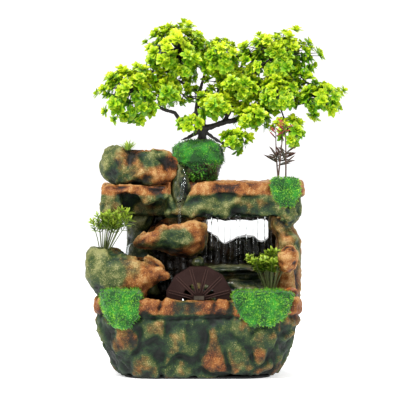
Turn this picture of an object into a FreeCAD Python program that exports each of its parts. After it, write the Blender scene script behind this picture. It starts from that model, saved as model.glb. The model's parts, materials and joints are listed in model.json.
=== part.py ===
import FreeCAD, Part
import math
import os
from FreeCAD import Vector

# Tabletop rockery fountain, in millimetres. +Z is up, -Y is the front and +X is the viewer's right.
# The origin is the centre of the foam pad's underside. The water goes from the pump up a hose to the
# upper bowl, over the spout rock, through the trough's V notch and down two more bowls to the wheel.

# ---- driving dimensions: basin and rockery ----
basin_w = 202.0  # widest, across the rim
basin_d = 150.0  # front to back
basin_h = 78.0  # rim above the table
foot_in_side = 25.5  # how far the basin draws in at its foot, each side
foot_in_front = 14.0  # and at the front
front_bow = 5.0  # the front face swells forward by this much
corner_front = 34.0
corner_back = 12.0
wall_t = 8.0
floor_t = 10.0
pad_t = 2.0
pad_in = 3.0
wall_h = 80.0  # rim to the underside of the trough
back_wall_d = 31.0
back_wall_skin = 6.5
back_wall_side = 6.0  # its left side wall, beside the hose
back_wall_in_left = 30.0  # from the basin's left edge
back_wall_in_right = 4.0
slab_h = 31.0  # height of the arch and trough castings
trough_rise = 3.0  # the trough's rim stands this much above the arch
slab_over = 56.0  # how far the slab reaches forward of the back wall
trough_wall = 8.0
trough_floor = 8.0
channel_d = 38.0
notch_w = 31.0
notch_depth = 23.0
notch_from_left = 70.0  # basin's left edge to the notch's left shoulder
drip_r = 1.2
drip_count = 9
window_w = 66.0
window_sill = 50.0  # rim to the lowest point of the window's sill
window_lintel = 5.0
window_wave = 14.0
window_from_right = 95.0  # basin's right edge to the window's left edge
door_w = 60.0
door_h = 62.0
door_t = 5.0
door_gap = 0.4
door_stop = 3.0
door_from_left = 39.0

# ---- driving dimensions: bowls, stones and tree base ----
upper_boulder_w = 78.0
upper_boulder_h = 42.5
upper_boulder_d = 84.0
middle_boulder_w = 72.0
middle_boulder_h = 41.0
middle_boulder_d = 68.0
lower_boulder_w = 81.0
lower_boulder_h = 52.0
lower_boulder_d = 62.0
bowl_wall = 8.0
ledge_w = 84.0
ledge_d = 60.0
ledge_h = 30.0  # above the rim
root_rock_w = 49.0
root_rock_d = 42.0
root_rock_h = 40.0
root_peg_r = 8.0
root_peg_l = 12.0
peg_gap = 0.3
moss_t = 4.0
crown_w = 246.0
crown_d = 112.0
crown_h = 128.0
crown_lift = 6.0  # lowest foliage above the root rock's foot, over the tips of the low branches
trunk_r = 4.6

# ---- driving dimensions: wheel ----
wheel_r = 33.0
wheel_w = 18.0
wheel_plate_t = 2.0
paddle_count = 12
paddle_t = 1.6
hub_r = 6.0
axle_r = 1.5
axle_gap = 0.05
wheel_front_gap = 7.0  # basin's inner front wall at the rim to the wheel
post_w = 10.0
post_t = 6.0
post_gap = 2.5
wheel_gap = 2.0  # from the wheel's tips to the fixed pieces round it

# ---- driving dimensions: pump and hose ----
pump_l = 38.0
pump_w = 28.0
pump_h = 34.0
cup_h = 4.0
cup_r = 5.0
rotor_r = 7.0
rotor_gap = 1.0
volute_r = 11.5
volute_w = 8.0
vane_count = 6
vane_t = 1.4
shaft_r = 1.5
bush_r = 3.0
bush_l = 3.0
cover_l = 10.0
cover_t = 1.6
strainer_travel = 6.0
strainer_gap = 1.0
dial_r = 7.0
dial_t = 3.0
dial_grip_h = 2.0
dial_gap = 0.3
hose_bore_r = 4.5
hose_wall = 1.25
hose_gap = 0.75
inlet_flange_r = 10.0
inlet_gap = 0.5
grommet_bore_r = 3.0
grommet_wall = 2.0

# ---- levels and faces worked out from them ----
x_left = -basin_w / 2
x_right = basin_w / 2
y_front = -basin_d / 2
y_back = basin_d / 2
floor_z = pad_t + floor_t
rim_z = basin_h
deck_z = rim_z + wall_h
slab_z = deck_z + slab_h
trough_z = slab_z + trough_rise
wall_y = y_back - back_wall_d
slab_y = wall_y - slab_over
notch_x = x_left + notch_from_left
channel_z = deck_z + trough_floor
window_x = x_right - window_from_right
hose_r = hose_bore_r + hose_wall
hose_hole_r = hose_r + hose_gap
hose_x = x_left + back_wall_in_left + back_wall_side + hose_r + hose_gap
hose_y = y_back - back_wall_skin - 9.5
rotor_y = hose_y - volute_r + hose_bore_r
rotor_z = floor_z + cup_h + pump_h / 2
rock_sides = 14
overrun = 1.0  # how far a cutting tool passes a face that it opens


# ---- helpers ----
def box(x0, x1, y0, y1, z0, z1):
    """A block between two corners."""
    return Part.makeBox(x1 - x0, y1 - y0, z1 - z0, Vector(x0, y0, z0))


def cylinder(radius, start, axis, length):
    """A cylinder from a point along an axis."""
    return Part.makeCylinder(radius, length, Vector(*start), Vector(*axis))


def prism_y(points, y0, y1):
    """A straight prism along Y from an outline of (x, z) points."""
    corners = [Vector(x, y0, z) for x, z in points]
    face = Part.Face(Part.makePolygon(corners + corners[:1]))
    return face.extrude(Vector(0, y1 - y0, 0))


def skin(rings):
    """A closed solid of flat triangles through rings of points, with its two end rings filled."""
    faces = []
    for low, high in zip(rings, rings[1:]):
        for i in range(len(low)):
            j = (i + 1) % len(low)
            for corners in ((low[i], low[j], high[j]), (low[i], high[j], high[i])):
                faces.append(Part.Face(Part.makePolygon([*corners, corners[0]])))
    for ring in (rings[0], rings[-1]):
        faces.append(Part.Face(Part.makePolygon(ring + ring[:1])))
    shell = Part.makeShell(faces)
    shell.sewShape()
    solid = Part.Solid(shell)
    if solid.Volume < 0:
        solid.reverse()
    return solid


def oval(count, power):
    """Points of a unit superellipse, anticlockwise. A power over 2 fills its corners out."""
    points = []
    for k in range(count):
        angle = 2 * math.pi * (k + 0.5) / count
        c, s = math.cos(angle), math.sin(angle)
        u = math.copysign(abs(c) ** (2 / power), c)
        v = math.copysign(abs(s) ** (2 / power), s)
        points.append((u, v))
    return points


def rock_x(corner, size, stations, power=2.5, grow=0.0):
    """A rock lofted along X. Each station is (x, low z, high z, front y, back y) as shares of size."""
    rings = []
    for along, low, high, front, back in stations:
        x = corner[0] + along * size[0]
        yc = corner[1] + (front + back) / 2 * size[1]
        zc = corner[2] + (low + high) / 2 * size[2]
        ry = (back - front) / 2 * size[1] + grow
        rz = (high - low) / 2 * size[2] + grow
        rings.append([Vector(x, yc + u * ry, zc + v * rz) for u, v in oval(rock_sides, power)])
    return skin(rings)


def rock_z(corner, size, stations, power=2.5, grow=0.0):
    """A rock lofted along Z. Each station is (z, left x, right x, front y, back y) as shares of size."""
    rings = []
    for up, left, right, front, back in stations:
        z = corner[2] + up * size[2]
        xc = corner[0] + (left + right) / 2 * size[0]
        yc = corner[1] + (front + back) / 2 * size[1]
        rx = (right - left) / 2 * size[0] + grow
        ry = (back - front) / 2 * size[1] + grow
        rings.append([Vector(xc + u * rx, yc + v * ry, z) for u, v in oval(rock_sides, power)])
    return skin(rings)


def ellipsoid(centre, radii, levels=6, sides=10):
    """A faceted closed ellipsoid."""
    rings = []
    for k in range(levels):
        lift = math.pi * (k + 0.6) / (levels + 0.2) - math.pi / 2
        wide = math.cos(lift)
        z = centre[2] + radii[2] * math.sin(lift)
        ring = []
        for i in range(sides):
            angle = 2 * math.pi * i / sides
            ring.append(Vector(centre[0] + radii[0] * wide * math.cos(angle),
                               centre[1] + radii[1] * wide * math.sin(angle), z))
        rings.append(ring)
    return skin(rings)


def limb(points, radii, sides=8):
    """A tapering faceted stem through points, with a radius at each."""
    rings = []
    for i, point in enumerate(points):
        here = Vector(*point)
        before = Vector(*points[max(i - 1, 0)])
        after = Vector(*points[min(i + 1, len(points) - 1)])
        along = (after - before).normalize()
        side = along.cross(Vector(0, 1, 0))
        if side.Length < 0.1:
            side = along.cross(Vector(1, 0, 0))
        side.normalize()
        other = along.cross(side)
        ring = []
        for k in range(sides):
            angle = 2 * math.pi * k / sides
            out = side * math.cos(angle) + other * math.sin(angle)
            ring.append(here + out * radii[i])
        rings.append(ring)
    return skin(rings)


def fuse_all(shapes):
    """One solid out of overlapping ones."""
    whole = shapes[0].multiFuse(shapes[1:])
    return whole.removeSplitter()


def stratum(x0, x1, front, back, low, high, phase, ease=4.0, sway=1.6):
    """A layer of rock with an uneven front edge and eased front corners."""
    steps = 8
    plan = [Vector(x0, front + ease, low)]
    for k in range(steps + 1):
        share = k / steps
        x = x0 + ease + share * (x1 - x0 - 2 * ease)
        plan.append(Vector(x, front + sway * (1 + math.sin(2.1 * phase + 9.0 * share)), low))
    plan += [Vector(x1, front + ease, low), Vector(x1, back, low), Vector(x0, back, low)]
    return Part.Face(Part.makePolygon(plan + plan[:1])).extrude(Vector(0, 0, high - low))


def cut_all(shape, tools):
    """A shape with every tool taken out of it."""
    for tool in tools:
        shape = shape.cut(tool)
    return shape


# ---- basin ----
basin_profile = ((0.0, 1.0), (0.13, 0.66), (0.32, 0.36), (0.56, 0.15), (0.8, 0.01), (1.0, 0.06))


def draw_in(z):
    """How much of the foot's inset applies at height z, from 1 at the foot to about 0 at the rim."""
    share = min(max((z - pad_t) / (basin_h - pad_t), 0.0), 1.0)
    for (s0, d0), (s1, d1) in zip(basin_profile, basin_profile[1:]):
        if share <= s1:
            return d0 + (d1 - d0) * (share - s0) / (s1 - s0)
    return basin_profile[-1][1]


def tub_ring(z, inset):
    """The basin's plan outline at height z, moved inwards by inset."""
    half = basin_w / 2 - draw_in(z) * foot_in_side - inset
    front = y_front + draw_in(z) * foot_in_front + inset
    back = y_back - inset
    radius_f = max(corner_front - inset, 4.0)
    radius_b = max(corner_back - inset, 3.0)
    ring = []
    for cx, cy, radius, start, steps in (
        (half - radius_b, back - radius_b, radius_b, 0, 3),
        (-half + radius_b, back - radius_b, radius_b, 90, 3),
        (-half + radius_f, front + radius_f, radius_f, 180, 6),
        (half - radius_f, front + radius_f, radius_f, 270, 6),
    ):
        for k in range(steps + 1):
            angle = math.radians(start + 90 * k / steps)
            ring.append(Vector(cx + radius * math.cos(angle), cy + radius * math.sin(angle), z))
    for point in ring:
        if point.y < front + radius_f:
            share = 1 - min(abs(point.x) / half, 1.0) ** 2
            point.y -= front_bow * share
    return ring


def basin_outer(grow=0.0):
    """The basin's outside, solid, swollen by grow."""
    heights = [pad_t + share * (basin_h - pad_t) for share, _ in basin_profile]
    return skin([tub_ring(z, -grow) for z in heights])


def basin_inner():
    """The basin's hollow, open through the rim."""
    heights = [floor_z] + [pad_t + share * (basin_h - pad_t) for share, _ in basin_profile[2:]]
    rings = [tub_ring(z, wall_t) for z in heights]
    rings.append([Vector(p.x, p.y, rim_z + overrun) for p in rings[-1]])
    return skin(rings)


grommet_x = x_left + 84.0
grommet_z = rim_z - 9.0
grommet_out_r = grommet_bore_r + grommet_wall


def make_basin():
    """The cast tub, with a hole for the pump's lead and pockets for the strainer to slide off into."""
    hole = cylinder(grommet_out_r, (grommet_x, y_back - wall_t - overrun, grommet_z), (0, 1, 0),
                    wall_t + 2 * overrun)
    reach = strainer_travel + strainer_gap
    pocket = box(cover_x0 - reach, cover_x0, pump_y0 - strainer_gap, pump_y1 + strainer_gap, floor_z,
                 pump_z1 + strainer_gap)
    half = dial_r + strainer_gap
    dial_pocket = box(dial_x0 - reach, dial_x0, rotor_y - half, rotor_y + half, rotor_z - half, rotor_z + half)
    return cut_all(basin_outer(), [basin_inner(), hole, pocket, dial_pocket])


def make_base_pad():
    """The foam pad that the fountain stands on."""
    ring = tub_ring(pad_t, pad_in)
    return skin([[Vector(p.x, p.y, 0) for p in ring], ring])


def make_cable_grommet():
    """A flanged rubber bush in the basin's back wall."""
    flange_t, flange_w = 1.5, 1.6
    start = y_back - wall_t
    body = cylinder(grommet_out_r, (grommet_x, start, grommet_z), (0, 1, 0), wall_t)
    flange = cylinder(grommet_out_r + flange_w, (grommet_x, y_back, grommet_z), (0, 1, 0), flange_t)
    bore = cylinder(grommet_bore_r, (grommet_x, start - overrun, grommet_z), (0, 1, 0),
                    wall_t + flange_t + 2 * overrun)
    return body.fuse(flange).cut(bore).removeSplitter()


# ---- rockery ----
back_wall_x0 = x_left + back_wall_in_left
back_wall_x1 = x_right - back_wall_in_right
door_x0 = x_left + door_from_left
door_z0 = rim_z + 10.0


def window_outline():
    """The window's (x, z) outline: a wavy sill below a straight lintel."""
    wave = ((0.0, 1.0), (0.1, 0.85), (0.2, 0.45), (0.27, 0.1), (0.32, 0.0), (0.41, 0.18), (0.53, 0.5),
            (0.65, 0.58), (0.78, 0.46), (0.86, 0.2), (0.93, 0.18), (1.0, 0.42))
    sill = rim_z + window_sill
    top = deck_z - window_lintel
    points = [(window_x + u * window_w, sill + v * window_wave) for u, v in wave]
    return points + [(window_x + window_w, top), (window_x, top)]


def make_back_wall():
    """The hollow rear casting: hose and pump space on the left, window on the right."""
    chamfer = back_wall_side
    plan = [(back_wall_x0, wall_y), (back_wall_x1, wall_y), (back_wall_x1, y_back - chamfer),
            (back_wall_x1 - chamfer, y_back), (back_wall_x0 + chamfer, y_back),
            (back_wall_x0, y_back - chamfer)]
    corners = [Vector(x, y, rim_z) for x, y in plan]
    block = Part.Face(Part.makePolygon(corners + corners[:1])).extrude(Vector(0, 0, wall_h))
    inner_y0 = wall_y + back_wall_skin
    inner_y1 = y_back - back_wall_skin
    under = rim_z - overrun
    service = box(back_wall_x0 + back_wall_side, window_x - back_wall_skin, inner_y0, inner_y1, under,
                  deck_z - back_wall_skin)
    below_window = box(window_x, back_wall_x1 - back_wall_side, inner_y0, inner_y1, under,
                       rim_z + window_sill - back_wall_skin)
    window = prism_y(window_outline(), wall_y - overrun, y_back + overrun)
    pocket = box(door_x0, door_x0 + door_w, y_back - door_t, y_back + overrun, door_z0, door_z0 + door_h)
    through = box(door_x0 + door_stop, door_x0 + door_w - door_stop, inner_y1 - overrun,
                  y_back, door_z0 + door_stop, door_z0 + door_h - door_stop)
    hose_way = cylinder(hose_hole_r, (hose_x, hose_y, deck_z - back_wall_skin - overrun), (0, 0, 1),
                        back_wall_skin + 2 * overrun)
    return cut_all(block, [service, below_window, window, pocket, through, hose_way])


def make_access_door():
    """The lift-out panel behind the pump, with a finger recess."""
    plate = box(door_x0 + door_gap, door_x0 + door_w - door_gap, y_back - door_t + door_gap, y_back,
                door_z0 + door_gap, door_z0 + door_h - door_gap)
    grip_r, grip_depth = 9.0, 2.4
    grip = cylinder(grip_r, (door_x0 + door_w / 2, y_back - grip_depth, door_z0 + door_h * 0.75),
                    (0, 1, 0), grip_depth + overrun)
    return plate.cut(grip)


arch_x0 = x_left + 5.0
column_w = 26.0
column_d = 28.0


def make_left_column():
    """The wet rock column that carries the arch, between the left rim and the back wall."""
    stations = ((0.0, -0.1, 1.2, 0.05, 1.2), (0.3, -0.04, 1.1, 0.0, 1.2), (0.62, 0.0, 0.9, 0.1, 1.2),
                (0.85, -0.03, 0.86, 0.05, 1.2), (1.0, -0.18, 1.0, 0.0, 1.2))
    corner = (back_wall_x0, wall_y - column_d, rim_z)
    rough = rock_z(corner, (column_w, column_d, wall_h), stations)
    return rough.common(box(x_left, x_right, y_front, wall_y, rim_z, deck_z))


def make_left_arch():
    """The slab left of the V notch, with its hanging end and the two hollows under its front edge."""
    stub = 12.0  # the hanging end reaches this far below the deck
    left, right = arch_x0, notch_x
    outline = [(left + 5, slab_z), (left + 1, slab_z - 6), (left, slab_z - 22), (left + 2, deck_z - stub),
               (left + 12, deck_z - stub + 2), (left + 19, deck_z), (left + 20, slab_z - 9),
               (left + 27, slab_z - 6), (left + 38, slab_z - 8), (left + 43, slab_z - 19),
               (right - 5, slab_z - 12), (right, slab_z - 15), (right, slab_z)]
    hollow_d = 40.0  # the hollows end this far behind the slab's front
    face = prism_y(outline, slab_y, slab_y + hollow_d)
    body = box(left + 1, right, slab_y + hollow_d, y_back, deck_z, slab_z)
    hose_way = cylinder(hose_hole_r, (hose_x, hose_y, deck_z - overrun), (0, 0, 1), slab_h + 2 * overrun)
    return cut_all(face.fuse(body).removeSplitter(), [hose_way])


root_x = notch_x + notch_w
root_y = y_back - 2.0 - root_rock_d / 2


def make_top_trough():
    """The long trough: channel and drip holes in front, tree platform behind, V notch at its left."""
    left, right = notch_x, x_right + 4.0
    band = 13.0  # the upper band of rock stands forward of the lower one
    block = fuse_all([stratum(left, right, slab_y, y_back, trough_z - band, trough_z, 0.4),
                      stratum(left, right - 3, slab_y + 2.0, y_back, deck_z, trough_z - band, 1.7)])
    channel = box(left + trough_wall / 2, right - trough_wall, slab_y + trough_wall,
                  slab_y + trough_wall + channel_d, channel_z, trough_z + overrun)
    tip = slab_z - notch_depth
    notch = prism_y([(left - overrun, trough_z + overrun), (left, slab_z), (left + notch_w * 0.36, tip),
                     (left + notch_w * 0.48, tip), (left + notch_w, trough_z),
                     (left + notch_w + overrun, trough_z + overrun)],
                    slab_y - overrun, slab_y + trough_wall + overrun)
    under = prism_y([(left - overrun, deck_z - overrun), (left - overrun, slab_z - 15), (left, slab_z - 15),
                     (left + 9, deck_z), (left + 9, deck_z - overrun)],
                    slab_y - overrun, slab_y + trough_wall - overrun)
    socket = cylinder(root_peg_r + peg_gap, (root_x, root_y, trough_z - root_peg_l - 2.0), (0, 0, 1),
                      root_peg_l + 2.0 + overrun)
    drips = []
    for k in range(drip_count):
        share = (k + 0.5) / drip_count
        x = window_x + share * window_w + 1.5 * math.sin(5.0 * k)
        drips.append(cylinder(drip_r, (x, slab_y + trough_wall + channel_d / 3, deck_z - overrun),
                              (0, 0, 1), trough_floor + 2 * overrun))
    return cut_all(block, [channel, notch, under, socket, *drips])


upper_x0 = arch_x0 - 1.0


def upper_corner():
    """Where the upper boulder's own box begins."""
    return (upper_x0, slab_y - 3.0, slab_z)


def make_upper_boulder():
    """The source bowl: a boulder on the arch, hollowed, with its spout at the right."""
    size = (upper_boulder_w, upper_boulder_d, upper_boulder_h)
    stations = ((0.0, 0.3, 0.52, 0.32, 0.68), (0.06, 0.15, 0.86, 0.18, 0.84), (0.22, -0.06, 1.0, 0.05, 0.96),
                (0.5, -0.1, 0.96, 0.0, 1.0), (0.72, -0.08, 0.9, 0.03, 0.88), (0.88, 0.02, 0.8, 0.12, 0.5),
                (1.0, 0.34, 0.6, 0.22, 0.42))
    x0, y0, z0 = upper_corner()
    body = rock_x((x0, y0, z0), size, stations, power=3.0)
    body = body.common(box(x0 - 9, x0 + size[0] + 9, y0 - 9, y_back, z0, z0 + 2 * size[2]))
    floor = z0 + bowl_wall
    hollow = ((0.0, 0.26, 0.7, 0.2, 0.8), (0.35, 0.18, 0.78, 0.14, 0.86), (1.1, 0.14, 0.8, 0.12, 0.9))
    bowl = rock_z((x0, y0, floor), (size[0], size[1], size[2]), hollow)
    spout_z = z0 + size[2] * 0.48
    spout_y = y0 + size[1] * 0.32
    spout = box(x0 + size[0] * 0.7, x0 + size[0] + 9, spout_y - 5, spout_y + 5, spout_z, z0 + size[2])
    hose_way = cylinder(hose_hole_r, (hose_x, hose_y, z0 - overrun), (0, 0, 1), bowl_wall + 2 * overrun)
    seat = cylinder(inlet_flange_r + inlet_gap, (hose_x, hose_y, floor), (0, 0, 1), size[2])
    return cut_all(body, [bowl, spout, hose_way, seat])


def make_spout_rock(neighbours):
    """The wet rock that leads the upper bowl's water down to the V notch."""
    corner = (notch_x + trough_wall / 2, slab_y + trough_wall, channel_z)
    size = (22.0, 27.0, 44.0)
    stations = ((0.0, 0.0, 1.0, 0.0, 1.0), (0.45, 0.0, 0.9, 0.1, 1.0), (0.8, 0.05, 0.68, 0.25, 0.95),
                (1.0, 0.1, 0.4, 0.4, 0.8))
    return cut_all(rock_z(corner, size, stations), neighbours)


middle_x0 = x_left + 37.5
middle_z0 = deck_z - middle_boulder_h + 0.5


def make_middle_boulder():
    """The leaf-shaped bowl on the back wall, tilted down to its spout at the left."""
    size = (middle_boulder_w, middle_boulder_d, middle_boulder_h)
    corner = (middle_x0, wall_y - middle_boulder_d, middle_z0)
    stations = ((0.0, 0.31, 0.38, 0.08, 0.26), (0.08, 0.24, 0.5, 0.04, 0.5), (0.2, 0.2, 0.7, 0.02, 1.3),
                (0.38, 0.16, 0.9, 0.0, 1.35), (0.6, 0.0, 0.98, 0.0, 1.35), (0.8, -0.02, 0.99, 0.02, 1.35),
                (0.94, 0.14, 0.97, 0.12, 1.3), (1.0, 0.4, 0.93, 0.25, 1.2))
    body = rock_x(corner, size, stations)
    body = body.common(box(x_left, x_right, y_front, wall_y, rim_z, deck_z - 0.3))
    floor = corner[2] + size[2] * 0.3
    hollow = ((0.0, 0.2, 0.72, 0.2, 0.75), (0.2, 0.12, 0.82, 0.14, 0.85), (0.8, 0.1, 0.88, 0.1, 0.88))
    bowl = rock_z((corner[0], corner[1], floor), size, hollow)
    spout_y = corner[1] + size[1] * 0.18
    spout = box(corner[0] - 9, corner[0] + size[0] * 0.3, spout_y - 4.5, spout_y + 4.5,
                corner[2] + size[2] * 0.34, deck_z)
    return cut_all(body, [bowl, spout])


lower_x0 = x_left - 8.0


def make_lower_boulder():
    """The bowl on the left rim, with a planting pocket at its left and its spout over the wheel."""
    size = (lower_boulder_w, lower_boulder_d, lower_boulder_h)
    corner = (lower_x0, y_front + 14.0, rim_z)
    stations = ((0.0, 0.4, 0.86, 0.3, 0.7), (0.06, 0.2, 0.98, 0.16, 0.86), (0.2, -0.08, 0.97, 0.05, 0.95),
                (0.45, -0.1, 0.95, 0.0, 1.0), (0.66, -0.1, 0.86, 0.0, 0.98), (0.76, 0.2, 0.8, 0.04, 0.9),
                (0.88, 0.34, 0.68, 0.06, 0.56), (1.0, 0.38, 0.54, 0.1, 0.28))
    body = rock_x(corner, size, stations)
    body = body.common(box(lower_x0 - 9, x_right, y_front, wall_y - column_d, rim_z, deck_z))
    floor = corner[2] + size[2] * 0.46
    hollow = ((0.0, 0.42, 0.68, 0.25, 0.78), (0.2, 0.38, 0.74, 0.2, 0.84), (0.9, 0.36, 0.78, 0.16, 0.86))
    bowl = rock_z((corner[0], corner[1], floor), size, hollow)
    spout_y = corner[1] + size[1] * 0.18
    spout = box(corner[0] + size[0] * 0.6, corner[0] + size[0] + 9, spout_y - 4.5, spout_y + 4.5,
                corner[2] + size[2] * 0.47, deck_z)
    pocket = rock_z((corner[0], corner[1], rim_z + size[2] * 0.78), (size[0], size[1], size[2]),
                    ((0.0, 0.13, 0.28, 0.32, 0.64), (0.4, 0.12, 0.29, 0.28, 0.68)))
    return cut_all(body, [bowl, spout, pocket])


pillar_w = 30.0
ledge_x0 = x_right - 24.0 - ledge_w
ledge_top = rim_z + ledge_h


def make_right_pillar():
    """The rock pillar on the right rim that carries the trough's far end."""
    size = (pillar_w, wall_y - y_front - 44.0, wall_h)
    corner = (x_right - pillar_w + 2.0, y_front + 44.0, rim_z)
    stations = ((0.0, 0.05, 0.98, 0.0, 1.2), (0.25, 0.12, 1.0, 0.05, 1.2), (0.55, 0.2, 1.0, 0.1, 1.2),
                (0.72, 0.25, 0.98, 0.16, 1.2), (0.86, 0.0, 0.74, 0.3, 1.2), (1.0, 0.0, 0.96, 0.2, 1.2))
    rough = rock_z(corner, size, stations)
    return rough.common(box(x_left, x_right + 9, y_front, wall_y, rim_z, deck_z))


def make_splash_ledge(pillar):
    """Layered stone from the basin floor up to the window: each layer is a shelf with its own overhang."""
    layers = ((floor_z, rim_z - 4, 4.0), (rim_z - 4, rim_z + 4, 9.0), (rim_z + 4, rim_z + 9, 2.0),
              (rim_z + 9, rim_z + 17, 7.0), (rim_z + 17, ledge_top - 5, 12.0), (ledge_top - 5, ledge_top, 0.0))
    slabs = []
    for n, (low, high, back) in enumerate(layers):
        slabs.append(stratum(ledge_x0, ledge_x0 + ledge_w, wall_y - ledge_d + back, wall_y, low, high, n))
    inside = basin_inner().fuse(box(x_left, x_right, y_front, wall_y, rim_z, deck_z))
    core = box(ledge_x0 + 14, ledge_x0 + ledge_w - 26, wall_y - ledge_d + 20, wall_y + overrun, floor_z - overrun,
               ledge_top - 12)
    return cut_all(fuse_all(slabs).common(inside), [pillar, core])


def make_plant_rock(ledge):
    """The rock in the pool that the right-hand plant grows on."""
    size = (40.0, 30.0, rim_z + 3.0 - floor_z)
    corner = (x_right - wall_t - 40.0, y_front + wall_t + 16.0, floor_z)
    stations = ((0.0, 0.1, 0.8, 0.1, 0.9), (0.5, 0.0, 0.95, 0.0, 1.0), (0.9, 0.05, 1.0, 0.05, 1.0),
                (1.0, 0.2, 0.85, 0.2, 0.85))
    rough = rock_z(corner, size, stations)
    return rough.common(basin_inner().fuse(box(x_left, x_right - wall_t - 3, y_front, wall_y, rim_z, deck_z))
                        ).cut(ledge)


def stone(centre, radii, neighbours, turn=0.0):
    """A small loose stone, bedded against its neighbours."""
    body = ellipsoid(centre, radii, levels=5, sides=9)
    body.rotate(Vector(*centre), Vector(0, 1, 0), turn)
    bedded = cut_all(body, neighbours)
    return max(bedded.Solids, key=lambda s: s.Volume)


# ---- moss ----
def basin_moss(x0, x1, drop, back, above):
    """A moss cushion over the basin's front rim, from x0 to x1 and down the front by drop."""
    y0 = y_front - front_bow - 2 * moss_t
    patch = ((0.0, 0.3, 0.7, 0.0, 0.4), (0.3, 0.12, 0.9, 0.0, 0.7), (0.62, 0.02, 0.98, 0.0, 1.0),
             (0.9, 0.0, 1.0, 0.0, 1.0), (1.0, 0.06, 0.94, 0.1, 0.95))
    region = rock_z((x0, y0, rim_z - drop), (x1 - x0, back, drop + above), patch, power=4.0)
    blanket = basin_outer(moss_t)
    lid_ring = tub_ring(rim_z, -moss_t)
    lid = skin([[Vector(p.x, p.y, rim_z) for p in lid_ring],
                [Vector(p.x * 0.99, p.y * 0.99, rim_z + above) for p in lid_ring]])
    return region.common(fuse_all([blanket, lid]))


# ---- tree ----
root_z0 = trough_z + peg_gap
root_stations = ((0.0, 0.16, 0.86, 0.14, 0.86), (0.14, 0.06, 0.93, 0.06, 0.94), (0.42, 0.0, 1.0, 0.0, 1.0),
                 (0.75, 0.04, 0.98, 0.04, 0.96), (0.92, 0.16, 0.86, 0.16, 0.84), (1.0, 0.34, 0.7, 0.34, 0.66))
root_size = (root_rock_w, root_rock_d, root_rock_h)
root_corner = (root_x - root_rock_w / 2, root_y - root_rock_d / 2, root_z0)
crown_x = root_x + crown_w / 2 - 97.0
crown_z = root_z0 + root_rock_h + crown_lift


def make_root_rock():
    """The rock that the tree is planted in, with a peg below for the trough's socket."""
    body = rock_z(root_corner, root_size, root_stations)
    peg = cylinder(root_peg_r, (root_x, root_y, root_z0 - root_peg_l), (0, 0, 1), root_peg_l + overrun)
    return body.fuse(peg).removeSplitter()


def make_root_moss(root_rock, trunk):
    """The moss over the top and sides of the root rock."""
    skin_t = 1.6
    stations = [(s[0] * 0.82 + 0.2, *s[1:]) for s in root_stations[1:]]
    cloak = rock_z(root_corner, root_size, stations, grow=skin_t)
    return cut_all(cloak, [root_rock, trunk])


def crown_point(u, v, w):
    """A point of the crown from shares of its width, depth and height, with v 0 at its middle."""
    return (crown_x + (u - 0.5) * crown_w, root_y + v * crown_d, crown_z + (w - 0.068) * crown_h)


def make_trunk():
    """The trunk with its main branches, as one moulded piece."""
    foot = root_z0 + root_rock_h - 8.0
    top = root_z0 + root_rock_h + 15.0
    x, y = root_x + 4.5, root_y
    trunk = limb([(x, y, foot), (x, y, foot + 8), (x + 0.5, y, foot + 14), (x, y, top)],
                 [trunk_r * 1.7, trunk_r * 1.25, trunk_r * 0.95, trunk_r * 1.2])
    start = (x, y, top - 3)
    routes = (
        ([start, crown_point(0.415, 0.02, 0.2), crown_point(0.39, 0.03, 0.27), crown_point(0.4, 0.0, 0.4),
          crown_point(0.425, 0.0, 0.56)], [0.8, 0.75, 0.6, 0.45, 0.3]),
        ([crown_point(0.39, 0.03, 0.25), crown_point(0.36, -0.02, 0.19), crown_point(0.32, -0.05, 0.19),
          crown_point(0.3, -0.06, 0.25), crown_point(0.26, -0.06, 0.27), crown_point(0.2, -0.07, 0.32)],
         [0.62, 0.55, 0.5, 0.46, 0.4, 0.28]),
        ([start, crown_point(0.36, -0.06, 0.055), crown_point(0.325, -0.1, 0.03)], [0.5, 0.38, 0.22]),
        ([start, crown_point(0.46, -0.06, 0.05), crown_point(0.54, -0.12, -0.045)], [0.5, 0.36, 0.26]),
        ([start, crown_point(0.5, -0.02, 0.17), crown_point(0.62, 0.0, 0.22), crown_point(0.76, -0.02, 0.3),
          crown_point(0.88, -0.02, 0.34)], [0.75, 0.6, 0.5, 0.4, 0.26]),
        ([crown_point(0.5, -0.02, 0.17), crown_point(0.56, 0.05, 0.36), crown_point(0.63, 0.04, 0.56),
          crown_point(0.7, 0.02, 0.68)], [0.5, 0.42, 0.34, 0.24]),
        ([crown_point(0.4, 0.0, 0.4), crown_point(0.32, 0.0, 0.5), crown_point(0.22, -0.02, 0.58)],
         [0.42, 0.34, 0.22]),
        ([crown_point(0.4, 0.0, 0.38), crown_point(0.44, 0.16, 0.44), crown_point(0.5, 0.28, 0.5)],
         [0.4, 0.32, 0.2]),
        ([crown_point(0.62, 0.0, 0.22), crown_point(0.66, 0.14, 0.34), crown_point(0.74, 0.24, 0.42)],
         [0.4, 0.3, 0.2]),
    )
    parts = [trunk]
    for points, shares in routes:
        parts.append(limb(points, [trunk_r * s for s in shares]))
    return fuse_all(parts)


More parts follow.
